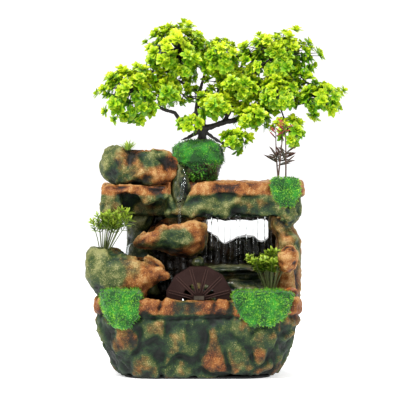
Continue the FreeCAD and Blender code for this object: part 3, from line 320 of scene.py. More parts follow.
@dataclass(frozen=True)
class MossFlock:
    """Bright flocked moss, brighter at its tips and yellow in places."""

    name: str = "moss_flock"
    deep: Colour = (0.004, 0.060, 0.003)
    fresh: Colour = (0.030, 0.300, 0.010)
    tip: Colour = (0.330, 0.660, 0.025)
    tuft_size: float = 9 * MM
    patch_size: float = 16 * MM
    fluff_size: float = 0.5 * MM

    def material(self) -> bpy.types.Material:
        """Builds the material."""
        sh = Shader(self.name)
        tone = sh.attribute("tint") * 0.5 + sh.attribute("along") * 0.55 + (sh.clouds(self.tuft_size) - 0.5) * 0.7
        tone = tone + (sh.clouds(self.patch_size) - 0.42) * 0.9
        base = sh.ramp(tone, (0.1, self.deep), (0.45, self.fresh), (0.85, self.tip))
        fluff = sh.clouds(self.fluff_size, 2.0)
        return sh.done(Base_Color=base, Roughness=sh.spread(fluff, 0.2, 0.8, 0.75, 0.95),
                       Normal=sh.bump(fluff, 0.2 * MM), Sheen_Weight=0.3, Sheen_Roughness=0.5)


@dataclass(frozen=True)
class LeafPlastic:
    """Soft moulded leaves, dark at the foot and light at the tip, with a vein down the middle."""

    name: str
    foot: Colour
    middle: Colour
    tip: Colour
    gloss: float = 0.42
    patch_size: float = 5 * MM
    pore_size: float = 0.7 * MM
    glow: Size = (0.001, 0.002, 0.0005)

    def material(self) -> bpy.types.Material:
        """Builds the material."""
        sh = Shader(self.name)
        patch = sh.clouds(self.patch_size)
        tone = sh.attribute("along") * 0.45 + sh.attribute("tint") * 0.75 + (patch - 0.5) * 0.35
        base = sh.ramp(tone, (0.08, self.foot), (0.5, self.middle), (0.95, self.tip))
        vein = sh.fade(sh.attribute("across"), 0.22)
        base = sh.mix(vein * 0.35, base, self.foot)
        pores = sh.clouds(self.pore_size, 2.0)
        rough = sh.spread(pores, 0.2, 0.8, self.gloss - 0.08, self.gloss + 0.1)
        return sh.done(Base_Color=base, Roughness=rough, Normal=sh.bump(pores - vein * 0.6, 0.12 * MM),
                       Specular_IOR_Level=0.4, Subsurface_Weight=0.12, Subsurface_Radius=self.glow)


@dataclass(frozen=True)
class Bark:
    """Near-black moulded bark with long cracks."""

    name: str = "dark_bark"
    low: Colour = (0.003, 0.003, 0.003)
    high: Colour = (0.034, 0.026, 0.021)
    crack_size: float = 1.8 * MM
    crack_stretch: Size = (1, 1, 4)
    knot_size: float = 7 * MM

    def material(self) -> bpy.types.Material:
        """Builds the material."""
        sh = Shader(self.name)
        cracks = sh.clouds(self.crack_size, 5.0, self.crack_stretch)
        knots = sh.clouds(self.knot_size, 3.0)
        base = sh.ramp(cracks * 0.7 + knots * 0.4, (0.35, self.low), (0.75, self.high))
        return sh.done(Base_Color=base, Roughness=sh.spread(cracks, 0.3, 0.7, 0.5, 0.8),
                       Normal=sh.bump(cracks, 0.7 * MM))


@dataclass(frozen=True)
class Moulded:
    """A moulded or machined plain material with a fine surface and slight wear."""

    name: str
    colour: Colour
    rough: float = 0.45
    metal: float = 0.0
    texture: float = 0.5 * MM
    depth: float = 0.05 * MM
    streak: Size = (1, 1, 1)
    wear: float = 0.25
    shine: float = 0.5
    cloud_size: float = 14 * MM

    def material(self) -> bpy.types.Material:
        """Builds the material."""
        sh = Shader(self.name)
        grain = sh.clouds(self.texture, 3.0, self.streak)
        cloud = sh.clouds(self.cloud_size, 4.0)
        light = tuple(min(1.0, c * (1 + self.wear) + 0.03 * self.wear) for c in self.colour)
        dark = shaded(self.colour, 1 - self.wear)
        base = sh.mix(sh.spread(cloud * 0.6 + grain * 0.4, 0.3, 0.7), dark, light)
        rough = sh.spread(grain + (cloud - 0.5) * 0.6, 0.2, 0.8, self.rough - 0.1, self.rough + 0.12)
        return sh.done(Base_Color=base, Roughness=rough, Metallic=self.metal, Specular_IOR_Level=self.shine,
                       Normal=sh.bump(grain, self.depth))


@dataclass(frozen=True)
class Clear:
    """A clear liquid or soft plastic."""

    name: str
    tint: Colour = (0.93, 0.98, 0.97)
    ior: float = 1.33
    rough: float = 0.02
    ripple: float = 3.5 * MM
    depth: float = 0.25 * MM

    def material(self) -> bpy.types.Material:
        """Builds the material."""
        sh = Shader(self.name)
        ripples = sh.clouds(self.ripple, 2.0)
        return sh.done(Base_Color=sh.mix(ripples * 0.3, self.tint, shaded(self.tint, 0.92)),
                       Roughness=self.rough, IOR=self.ior, Transmission_Weight=1.0,
                       Normal=sh.bump(ripples, self.depth))


# ---- the bench: the mesh work that every piece shares ----
class Bench:
    """Mesh operations shared by the sub-assemblies."""

    def __init__(self, frame: dict[str, Any]) -> None:
        """Keeps the loaded frame.
        """
        self.nodes = frame["nodes"]
        self.openings = {o["name"]: o["box_m"] for o in frame["record"]["physics"]["openings"]}

    @staticmethod
    def only(obj: bpy.types.Object) -> None:
        """Selects one object and makes it active."""
        for other in bpy.context.selected_objects:
            other.select_set(False)
        obj.select_set(True)
        bpy.context.view_layer.objects.active = obj

    @contextmanager
    def editing(self, obj: bpy.types.Object) -> Iterator[None]:
        """Edit mode on one piece, with all of it selected."""
        self.only(obj)
        bpy.ops.object.mode_set(mode="EDIT")
        bpy.ops.mesh.select_all(action="SELECT")
        yield
        bpy.ops.object.mode_set(mode="OBJECT")

    @staticmethod
    def link(name: str, data: bpy.types.ID) -> bpy.types.Object:
        """Makes an object of its data and puts it in the scene."""
        obj = bpy.data.objects.new(name, data)
        bpy.context.scene.collection.objects.link(obj)
        return obj

    def copy_node(self, node: str, name: str) -> bpy.types.Object:
        """Copies a frame node's mesh and merges its loose triangles.

        Args:
            node: The frame node.
            name: The new piece's name.

        Returns:
            The new piece.
        """
        mesh = self.nodes[node].data.copy()
        mesh.name = name
        mesh.materials.clear()
        obj = self.link(name, mesh)
        with self.editing(obj):
            bpy.ops.mesh.remove_doubles(threshold=0.01 * MM)
        return obj

    def modify(self, obj: bpy.types.Object, kind: str, **settings: Any) -> None:
        """Adds a modifier and applies it at once.

        Args:
            obj: The piece.
            kind: The modifier's type.
            settings: Its properties.
        """
        self.only(obj)
        modifier = obj.modifiers.new(kind.lower(), kind)
        for key, value in settings.items():
            setattr(modifier, key, value)
        bpy.ops.object.modifier_apply(modifier=modifier.name)

    def remesh(self, obj: bpy.types.Object, voxel: float, soften: int = 3) -> None:
        """Rebuilds a piece in even small faces and softens its facets."""
        self.modify(obj, "REMESH", mode="VOXEL", voxel_size=voxel, use_smooth_shade=True)
        self.modify(obj, "SMOOTH", factor=0.5, iterations=soften)

    def islands(self, node: str) -> list[tuple[Vector, Vector]]:
        """The boxes of a node's separate solids, as pairs of lowest and highest corners."""
        obj = self.copy_node(node, node + "_islands")
        with self.editing(obj):
            bpy.ops.mesh.separate(type="LOOSE")
        boxes = []
        for part in list(bpy.context.selected_objects):
            places = np.array([v.co for v in part.data.vertices])
            boxes.append((Vector(places.min(0)), Vector(places.max(0))))
            bpy.data.objects.remove(part)
        return sorted(boxes, key=lambda b: tuple(b[0]))

    @staticmethod
    def store(obj: bpy.types.Object, name: str, values: Iterable[float]) -> None:
        """Stores a number at each of a mesh's points."""
        layer = obj.data.attributes.new(name, "FLOAT", "POINT")
        layer.data.foreach_set("value", np.asarray(list(values), np.float32))

    @staticmethod
    def read(mesh: bpy.types.Mesh, name: str) -> np.ndarray:
        """Reads a vector of each of a mesh's points."""
        values = np.empty(len(mesh.vertices) * 3, np.float32)
        mesh.vertices.foreach_get(name, values)
        return values.reshape(-1, 3)

    def strands(self, name: str, routes: Sequence[Route], sides: int = 1) -> bpy.types.Object:
        """Makes round tapering strands through points, closed at their ends.

        Args:
            name: The piece's name.
            routes: Lists of (point, radius in metres).
            sides: The curve's bevel resolution.

        Returns:
            The strands as one mesh.
        """
        curve = bpy.data.curves.new(name, "CURVE")
        curve.dimensions = "3D"
        curve.bevel_depth = MM
        curve.bevel_resolution = sides
        curve.resolution_u = 3
        curve.use_fill_caps = True
        for route in routes:
            spline = curve.splines.new("NURBS")
            spline.points.add(len(route) - 1)
            for point, (place, radius) in zip(spline.points, route):
                point.co = (*place, 1.0)
                point.radius = radius / MM
            spline.order_u = min(3, len(route))
            spline.use_endpoint_u = True
        self.only(self.link(name, curve))
        bpy.ops.object.convert(target="MESH")
        obj = bpy.context.view_layer.objects.active
        obj.data.shade_smooth()
        return obj

    def finish(self, obj: bpy.types.Object, body: Body, material: bpy.types.Material, slot: str,
               *replaced: str) -> bpy.types.Object:
        """Dresses a piece, hangs it on its body and hides the nodes that it stands for.

        Args:
            obj: The piece.
            body: The body it moves with.
            material: Its material.
            slot: Not used.
            replaced: The frame nodes that it stands for.

        Returns:
            The piece.
        """
        obj.data.materials.clear()
        obj.data.materials.append(material)
        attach(obj, body.value)
        if replaced:
            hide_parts(*replaced)
        log.info("%s: %d faces on %s", obj.name, len(obj.data.polygons), body.value)
        return obj

    def dress(self, material: bpy.types.Material, *nodes: str) -> None:
        """Gives frame nodes a better material."""
        for node in nodes:
            data = self.nodes[node].data
            data.materials.clear()
            data.materials.append(material)


def smooth_step(value: float, low: float, high: float) -> float:
    """0 below low, 1 above high, and smooth between."""
    share = min(max((value - low) / (high - low), 0.0), 1.0)
    return share * share * (3 - 2 * share)


def bell(distance: float, width: float) -> float:
    """1 at no distance, and near 0 beyond twice the width."""
    return math.exp(-((distance / width) ** 2))


def mm(*lengths: float) -> tuple[float, ...]:
    """Millimetres as metres."""
    return tuple(length * MM for length in lengths)


def round_foot(low: Vector, high: Vector, lift: float = 1 * MM) -> Vector:
    """The middle of a box's floor, lifted a little."""
    return Vector(((low.x + high.x) / 2, (low.y + high.y) / 2, low.z + lift))


# ---- castings ----
Field = Callable[[Vector, Vector], float]


def level(_place: Vector, _normal: Vector) -> float:
    """A field that is 0 everywhere."""
    return 0.0


def damp_and_shaded(_place: Vector, _normal: Vector) -> float:
    """How wet a splashed stone is, which also darkens it as painted shade."""
    return 0.55


@dataclass(frozen=True)
class Casting:
    """How one casting's surface is sculpted from its frame node. Lengths are in metres.

    Hollows are the gaps between cells, or the cells' edges where blocks is set. Lumps and grain lie over
    them. The fields add warmth, push the surface along its normal, and wet it, which darkens it as wet rock
    and also as painted shade. Faces that look up get painted light and faces that look down get painted shade.
    """

    node: str
    voxel: float = 1.6 * MM
    soften: int = 3
    hollow_size: Size = mm(24, 24, 26)
    hollow: float = 3.0 * MM
    blocks: bool = False
    contrast: float = 0.66
    lump_size: float = 9 * MM
    lump: float = 1.5 * MM
    grain_size: float = 2.6 * MM
    grain: float = 0.35 * MM
    seed: float = 0.0
    warmth: float = 0.5
    warm: Field = level
    push: Field = level
    soak: Field = level
    body: Body = Body.ROCKERY
    warp: float = 0.45
    inner_calm: float = 0.85
    inner_reach: float = 15 * MM
    push_shade: float = 70.0

    def cells(self, place: Vector, start: Vector) -> tuple[float, float]:
        """How high a point is between hollow and ridge, and how near it is to a block's rim.

        Args:
            place: The point.
            start: Where this casting's pattern starts.

        Returns:
            (ridge, rim), both 0 to 1.
        """
        cell = Vector([p / s for p, s in zip(place, self.hollow_size)]) + start
        cell += self.warp * noise.noise_vector(cell * 1.4)
        near = noise.voronoi(cell)[0]
        gap = near[1] - near[0]
        if self.blocks:
            return smooth_step(gap, -0.05, 0.42), bell(gap - 0.3, 0.08)
        return 1 - smooth_step(gap, 0.0, 0.72), 0.0

    def sculpt(self, bench: Bench, finish: bpy.types.Material) -> bpy.types.Object:
        """Builds the piece.

        Args:
            bench: The mesh work.
            finish: The material.

        Returns:
            The finished casting.
        """
        obj = bench.copy_node(self.node, self.node + "_casting")
        bench.remesh(obj, self.voxel, self.soften)
        mesh = obj.data
        places, normals = bench.read(mesh, "co"), bench.read(mesh, "normal")
        moved = np.empty((len(places), 3))
        relief, warmth, soak = [], [], []
        start = Vector((self.seed * 7.3, self.seed * 3.1, self.seed * 5.7))
        middle = sum(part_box(self.node), Vector()) / 2
        for i, (place, normal) in enumerate(zip(map(Vector, places), map(Vector, normals))):
            ridge, rim = self.cells(place, start)
            lump = noise.fractal(place / self.lump_size + start, 0.9, 2.1, 4)
            grain = noise.noise(place / self.grain_size)
            push = self.push(place, normal)
            inside = smooth_step((middle - place).xy.dot(normal.xy), 0.0, self.inner_reach)
            up, down = max(normal.z, 0.0), max(-normal.z, 0.0)
            carve = self.hollow * (ridge - 0.7 - 0.2 * up) + self.lump * lump
            shift = carve * (1 - self.inner_calm * inside) + self.grain * grain + push
            moved[i] = place + normal * shift
            moved[i][2] = max(moved[i][2], PAD_TOP)
            # painted light and shade: faces that look up are painted lighter, faces that look down darker
            painted_light_by_facing = 0.13 * up - 0.26 * down
            relief.append(0.38 + self.contrast * (ridge - 0.45) + 0.12 * rim + 0.36 * lump + 0.14 * grain
                          + self.push_shade * min(push, 0.0) + painted_light_by_facing)
            warmth.append(self.warmth + self.warm(place, normal) + (0.3 * (ridge - 0.8) if self.blocks else 0.0))
            # how wet each point is; its darkening also paints shade in the recesses
            soak.append(min(max(self.soak(place, normal), 0.0), 1.0))
        mesh.vertices.foreach_set("co", moved.astype(np.float32).ravel())
        mesh.update()
        mesh.shade_smooth()
        for name, values in (("relief", relief), ("warmth", warmth), ("soak", soak)):
            bench.store(obj, name, values)
        return bench.finish(obj, self.body, finish, "cast_rock", self.node)


@dataclass(frozen=True)
class Dimple:
    """A green thumb-print pressed into the front of a bowl. Its place is a share of the bowl's box."""

    along: float
    up: float
    wide: float
    high: float
    deep: float = 2.6 * MM

    def share(self, box: tuple[Vector, Vector], place: Vector, normal: Vector) -> float:
        """How far a point is inside the dimple, 0 to 1."""
        low, high = box
        if normal.y > -0.2:
            return 0.0
        x = (place.x - low.x - self.along * (high.x - low.x)) / self.wide
        z = (place.z - low.z - self.up * (high.z - low.z)) / self.high
        return math.exp(-(x * x + z * z) ** 1.5)


@dataclass
class Rockery:
    """The cast rock: basin, walls, bowls and set-in stones."""

    bench: Bench
    band: float = 17 * MM
    band_swell: float = 1.2 * MM
    groove: float = 3.2 * MM
    lip: float = 0.8 * MM
    pocket_ease: float = 1.3 * MM
    pocket_margin: float = 4 * MM
    layer: float = 6.5 * MM
    runnel: float = 7 * MM

    def __post_init__(self) -> None:
        """Reads the boxes that the fields need."""
        self.basin_low, self.basin_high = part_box("basin")
        self.slab_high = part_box("top_trough")[1]
        self.wall_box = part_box("back_wall")
        self.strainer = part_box("intake_cover")

    def basin_push(self, place: Vector, normal: Vector) -> float:
        """The dark groove under the basin's rim band, and the band's swell."""
        if place.x * normal.x + place.y * normal.y <= 0:
            low, high = self.strainer
            beside = place.x < high.x and place.y > low.y - self.pocket_margin
            return -self.pocket_ease if beside and place.z < high.z + self.pocket_margin else 0.0
        below = self.basin_high.z - self.band + 2.5 * MM * noise.noise(place * 30)
        groove = bell(place.z - below, 2.6 * MM)
        lip = bell(place.z - self.basin_low.z - 3 * MM, 3 * MM)
        swell = self.band_swell * smooth_step(place.z, below, below + 5 * MM)
        return -self.groove * groove + swell + self.lip * lip

    def basin_warmth(self, place: Vector, _normal: Vector) -> float:
        """Rust on the rim band."""
        start = self.basin_high.z - self.band
        return 0.34 * smooth_step(place.z, start, start + 4 * MM)

    def slab_warmth_and_shade(self, place: Vector, _normal: Vector) -> float:
        """Rust along the slab's top band, and green below it: two-tone paint, which also stands for painted
        light on the band and painted shade below it.
        """
        # two-tone paint, also painted light on the top band and painted shade below it
        top = self.slab_high.z
        return 0.5 * smooth_step(place.z, top - 15 * MM, top - 8 * MM) - 0.16

    def bowl_push(self, node: str, dimple: Dimple) -> Field:
        """The dimple in a bowl's front, as a field."""
        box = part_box(node)
        return lambda place, normal: -dimple.deep * dimple.share(box, place, normal)

    def bowl_warmth(self, node: str, dimple: Dimple) -> Field:
        """Green at a bowl's left end and in its dimple, rust towards its spout, and greener underneath as
        painted shade, as a field.
        """
        low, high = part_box(node)
        turned = node == "middle_boulder"

        def warm(place: Vector, normal: Vector) -> float:
            """Warmth at one point."""
            along = (place.x - low.x) / (high.x - low.x)
            if turned:
                along = 0.55 + 0.25 * noise.noise(place * 45)
            # painted shade: faces that look down turn greener, so darker
            under = smooth_step(-normal.z, 0.1, 0.9)
            return 0.62 * (along - 0.42) - 0.1 * under - 0.7 * dimple.share((low, high), place, normal)

        return warm

    def ledge_push(self, place: Vector, normal: Vector) -> float:
        """Thin water-worn layers across the splash ledge's front."""
        if normal.z > 0.6 or normal.y > 0.3:
            return 0.0
        wander = 1.5 * MM * noise.noise(Vector((place.x * 22, place.y * 22, 0.4)))
        phase = (place.z + wander) / self.layer
        return -2.2 * MM * (0.5 + 0.5 * math.sin(2 * math.pi * phase)) ** 3

    def curtain_push(self, place: Vector, normal: Vector) -> float:
        """Upright runnels on the wall behind the falling water."""
        if normal.y > -0.5:
            return 0.0
        wander = 2 * MM * noise.noise(place * 40)
        phase = (place.x + wander) / self.runnel
        return -1.6 * MM * (0.5 + 0.5 * math.sin(2 * math.pi * phase)) ** 2

    def wall_soak_and_shade(self, place: Vector, _normal: Vector) -> float:
        """Running wet and darkened as painted shade in front and inside, and dry on the back wall's outer faces."""
        low, high = self.wall_box
        inside = min(high.y - place.y, place.x - low.x, high.x - place.x)
        return smooth_step(inside, 1.5 * MM, 6 * MM)

    def bowl(self, node: str, soften: int, tall: float, seed: float, dimple: Dimple, wide: float = 32.0,
             warmth: float = 0.5) -> Casting:
        """One of the stepped bowls.

        Args:
            node: Its frame node.
            soften: How often its facets are softened.
            tall: Its hollows' height, in millimetres.
            seed: Its pattern.
            dimple: Its green thumb-print.
            wide: Its hollows' width, in millimetres.
            warmth: How rusty it is, 0 to 1.

        Returns:
            The bowl, ready to be sculpted.
        """
        return Casting(node, 1.3 * MM, soften, mm(wide, wide, tall), 5.0 * MM, seed=seed, warmth=warmth,
                       warm=self.bowl_warmth(node, dimple), push=self.bowl_push(node, dimple))

    def build(self) -> None:
        """Sculpts every casting."""
        castings = (
            Casting("basin", 1.6 * MM, 3, mm(27, 27, 40), 4.6 * MM, True, 0.36, 13 * MM, 2.4 * MM, seed=1.0,
                    warmth=0.42, warm=self.basin_warmth, push=self.basin_push),
            Casting("top_trough", 1.5 * MM, 3, mm(38, 38, 28), 6.0 * MM, seed=2.0, warm=self.slab_warmth_and_shade),
            Casting("left_arch", 1.5 * MM, 3, mm(30, 30, 26), 5.0 * MM, seed=3.0, warm=self.slab_warmth_and_shade),
            self.bowl("upper_boulder", 12, 28, 4.4, Dimple(0.68, 0.68, 12 * MM, 9 * MM), wide=34),
            self.bowl("middle_boulder", 4, 26, 5.2, Dimple(0.6, 0.5, 15 * MM, 9 * MM), warmth=0.52),
            self.bowl("lower_boulder", 4, 30, 6.1, Dimple(0.3, 0.45, 11 * MM, 9 * MM)),
            Casting("right_pillar", 1.5 * MM, 3, mm(22, 22, 26), 4.4 * MM, seed=7.0),
            Casting("left_column", 1.5 * MM, 3, mm(18, 18, 22), 3.4 * MM, seed=8.0, warmth=0.2, soak=damp_and_shaded),
            Casting("spout_rock", 1.1 * MM, 3, mm(12, 12, 20), 2.0 * MM, seed=9.0, warmth=0.3, soak=damp_and_shaded),
            Casting("splash_ledge", 1.6 * MM, 2, mm(20, 20, 9), 1.6 * MM, seed=10.0, warmth=0.36,
                    push=self.ledge_push, soak=damp_and_shaded),
            Casting("plant_rock", 1.4 * MM, 3, mm(16, 16, 18), 2.6 * MM, seed=11.0, warmth=0.3, soak=damp_and_shaded),
            Casting("back_wall", 1.7 * MM, 2, mm(24, 24, 26), 2.2 * MM, seed=12.0, warmth=0.42,
                    push=self.curtain_push, soak=self.wall_soak_and_shade),
            Casting("pillar_stone", 1.0 * MM, 3, mm(14, 14, 14), 1.6 * MM, seed=13.0, warmth=0.85),
            Casting("hanging_stone", 1.0 * MM, 3, mm(12, 12, 12), 1.6 * MM, seed=14.0, warmth=0.4),
            Casting("rim_pebble", 0.8 * MM, 3, mm(18, 18, 18), 0.5 * MM, False, 0.1, lump=0.5 * MM, seed=15.0,
                    warmth=0.9),
            Casting("ledge_stone", 0.8 * MM, 3, mm(12, 12, 12), 0.8 * MM, lump=0.6 * MM, seed=16.0, warmth=0.1,
                    soak=damp_and_shaded),
            Casting("root_rock", 1.2 * MM, 3, mm(16, 16, 16), 1.6 * MM, seed=17.0, warmth=-0.3, soak=damp_and_shaded,
                    body=Body.TREE),
            Casting("access_door", 0.9 * MM, 1, mm(22, 22, 22), 0.9 * MM, lump=0.4 * MM, seed=18.0, warmth=0.42,
                    body=Body.DOOR),
        )
        rock = PaintedRock().material()
        pebble = PaintedRock("pebble", shade=2.2, edge=0.3, dry=0.45).material()
        for casting in castings:
            casting.sculpt(self.bench, pebble if casting.node == "rim_pebble" else rock)


# ---- growing things ----
def scatter(rng: random.Random, reach: float) -> Vector:
    """A random offset, up to a reach along each axis."""
    return Vector([rng.uniform(-1, 1) for _ in range(3)]) * reach


def spiral(k: int, count: int) -> tuple[float, float]:
    """The turn and the reach of one of many points spread evenly over a disc."""
    return GOLDEN_TURN * k, math.sqrt((k + 0.5) / count)


class LeafForm(Enum):
    """Leaf outlines, as (length, width, how far the sides fold up, how far the tip droops)."""

    ROSETTE = (8.4 * MM, 5.2 * MM, 0.3, 0.2)
    FEATHER = (8.6 * MM, 2.1 * MM, 0.2, 0.1)
    ROUND = (7.0 * MM, 3.2 * MM, 0.2, 0.3)
    BLADE = (17.0 * MM, 2.3 * MM, 0.3, 0.5)
    GRASS = (11.0 * MM, 1.1 * MM, 0.3, 0.3)
    MOSS = (3.2 * MM, 0.75 * MM, 0.5, 0.9)


class Leaves:
    """Many copies of one leaf in one mesh."""

    def __init__(self, bench: Bench, form: LeafForm, steps: int = 4) -> None:
        """Models the leaf once, along +X from its foot.

        Args:
            bench: The mesh work.
            form: Which leaf.
            steps: Faces along it.
        """
        self.bench = bench
        length, width, fold, droop = form.value
        bpy.ops.mesh.primitive_grid_add(x_subdivisions=steps, y_subdivisions=2, size=1.0)
        grid = bpy.context.view_layer.objects.active
        points = np.array([v.co for v in grid.data.vertices])
        self.faces = [tuple(p.vertices) for p in grid.data.polygons]
        bpy.data.objects.remove(grid)
        along = points[:, 0] + 0.5
        across = points[:, 1] * 2
        swell = np.sin(np.pi * np.clip(0.05 + 0.95 * along, 0, 1) ** 1.15)
        swell = np.clip(swell, 0, 1) ** 0.7 + 0.06
        self.along = along
        self.across = np.abs(across)
        self.points = np.stack([along * length, across * swell * width / 2,
                                fold * np.abs(across) * swell * width / 2 - droop * length * 0.5 * along ** 2], 1)
        self.places: list[np.ndarray] = []
        self.tints: list[float] = []

    def add(self, foot: Vector, out: Vector, face: Vector, size: float, tint: float) -> None:
        """Adds one leaf.

        Args:
            foot: Where it starts.
            out: Where it points.
            face: Roughly where its upper side looks.
            size: Its scale.
            tint: Its shade, 0 to 1, which for the tree's heads also holds painted light and painted shade.
        """
        x = out.normalized()
        y = face.cross(x)
        if y.length < 1e-3:
            y = x.orthogonal()
        y.normalize()
        turn = np.array([x, y, x.cross(y)])
        self.places.append(self.points * size @ turn + np.array(foot))
        self.tints.append(tint)

    def rosette(self, foot: Vector, axis: Vector, size: float, tint: float, rng: random.Random,
                whorls: Sequence[tuple[int, float, float]] = ((6, 14, 1.0), (5, 42, 0.86), (3, 70, 0.6))) -> None:
        """Adds a head of leaves.

        Args:
            foot: Its middle.
            axis: Where it faces.
            size: Its scale.
            tint: Its shade, 0 to 1.
            rng: Where its unevenness comes from.
            whorls: (leaves, degrees above flat, leaf size) for each ring.
        """
        axis = axis.normalized()
        side = axis.orthogonal().normalized()
        for ring, (count, rise, share) in enumerate(whorls):
            for k in range(count):
                turn = 2 * math.pi * (k + 0.5 * ring + rng.uniform(-0.25, 0.25)) / count
                lift = math.radians(rise + rng.uniform(-14, 14))
                spoke = Quaternion(axis, turn) @ side
                out = spoke * math.cos(lift) + axis * math.sin(lift)
                grown = size * share * rng.uniform(0.8, 1.15)
                shade = tint + 0.13 * ring + rng.uniform(-0.1, 0.1)
                self.add(foot + axis * ring * 0.7 * MM, out, axis, grown, shade)

    def make(self, name: str) -> bpy.types.Object:
        """Joins the leaves into one mesh with its along, across and tint numbers."""
        count = len(self.points)
        points = np.concatenate(self.places)
        faces = [tuple(i + n * count for i in f) for n in range(len(self.places)) for f in self.faces]
        mesh = bpy.data.meshes.new(name)
        mesh.from_pydata(points.tolist(), [], faces)
        mesh.update()
        mesh.shade_smooth()
        obj = self.bench.link(name, mesh)
        self.bench.store(obj, "along", np.tile(self.along, len(self.places)))
        self.bench.store(obj, "across", np.tile(self.across, len(self.places)))
        self.bench.store(obj, "tint", np.repeat(np.clip(self.tints, 0, 1), count))
        return obj


@dataclass
class Moss:
    """The moss cushions: a soft bed with short curling fronds all over it."""

    bench: Bench
    fronds_per_mm2: float = 0.42
    voxel: float = 1.3 * MM
    swell: float = 2.4 * MM
    sunk: float = 0.4 * MM
    seed: int = 11

    def cushion(self, node: str, body: Body, density: float = 1.0, shade: float = 0.45) -> None:
        """Builds one cushion.

        Args:
            node: The frame node that it stands for.
            body: The body it moves with.
            density: Fronds, as a share of the usual.
            shade: The fronds' usual shade, 0 to 1.
        """
        rng = random.Random(self.seed + len(node))
        bed = self.bench.copy_node(node, node + "_bed")
        self.bench.remesh(bed, self.voxel)
        for vertex in bed.data.vertices:
            lump = noise.fractal(vertex.co / (9 * MM), 0.9, 2.0, 3)
            vertex.co += vertex.normal * (self.swell * lump + 0.5 * MM)
        bed.data.update()
        self.bench.store(bed, "along", [0.1] * len(bed.data.vertices))
        self.bench.store(bed, "tint", [0.2 + 0.2 * noise.noise(v.co / (5 * MM)) for v in bed.data.vertices])
        fronds = Leaves(self.bench, LeafForm.MOSS, 2)
        for face in bed.data.polygons:
            wanted = face.area / MM ** 2 * self.fronds_per_mm2 * density
            for _ in range(int(wanted + rng.random())):
                out = face.normal + scatter(rng, 0.95)
                tint = shade + 0.4 * noise.noise(face.center / (8 * MM)) + rng.uniform(-0.25, 0.25)
                fronds.add(face.center - face.normal * self.sunk, out, face.normal + out.orthogonal() * 0.6,
                           rng.uniform(0.6, 1.2), tint)
        flock = MossFlock().material()
        self.bench.finish(bed, body, flock, "moss", node)
        self.bench.finish(fronds.make(node + "_fronds"), body, flock, "moss")

    def creep(self, node: str, body: Body, share: float) -> None:
        """Scatters fronds in patches over a rock.

        Args:
            node: The rock's frame node.
            body: The body it moves with.
            share: How much of the rock they cover.
        """
        rng = random.Random(self.seed + len(node))
        rock = self.bench.copy_node(node, node + "_under")
        self.bench.remesh(rock, self.voxel)
        fronds = Leaves(self.bench, LeafForm.MOSS, 2)
        for face in rock.data.polygons:
            patch = 0.5 + 0.5 * noise.noise(face.center / (11 * MM))
            if patch < share and face.normal.z > -0.6 and rng.random() < 0.55:
                out = face.normal + scatter(rng, 0.9)
                fronds.add(face.center, out, face.normal, rng.uniform(0.6, 1.2), 0.1 + rng.uniform(-0.2, 0.25))
        bpy.data.objects.remove(rock)
        self.bench.finish(fronds.make(node + "_moss"), body, MossFlock().material(), "moss")

    def build(self) -> None:
        """Builds every cushion."""
        for node in ("moss_front_left", "moss_front_right", "moss_top_right"):
            self.cushion(node, Body.ROCKERY)
        self.cushion("root_moss", Body.TREE, 0.6, 0.2)
        self.creep("root_rock", Body.TREE, 0.58)


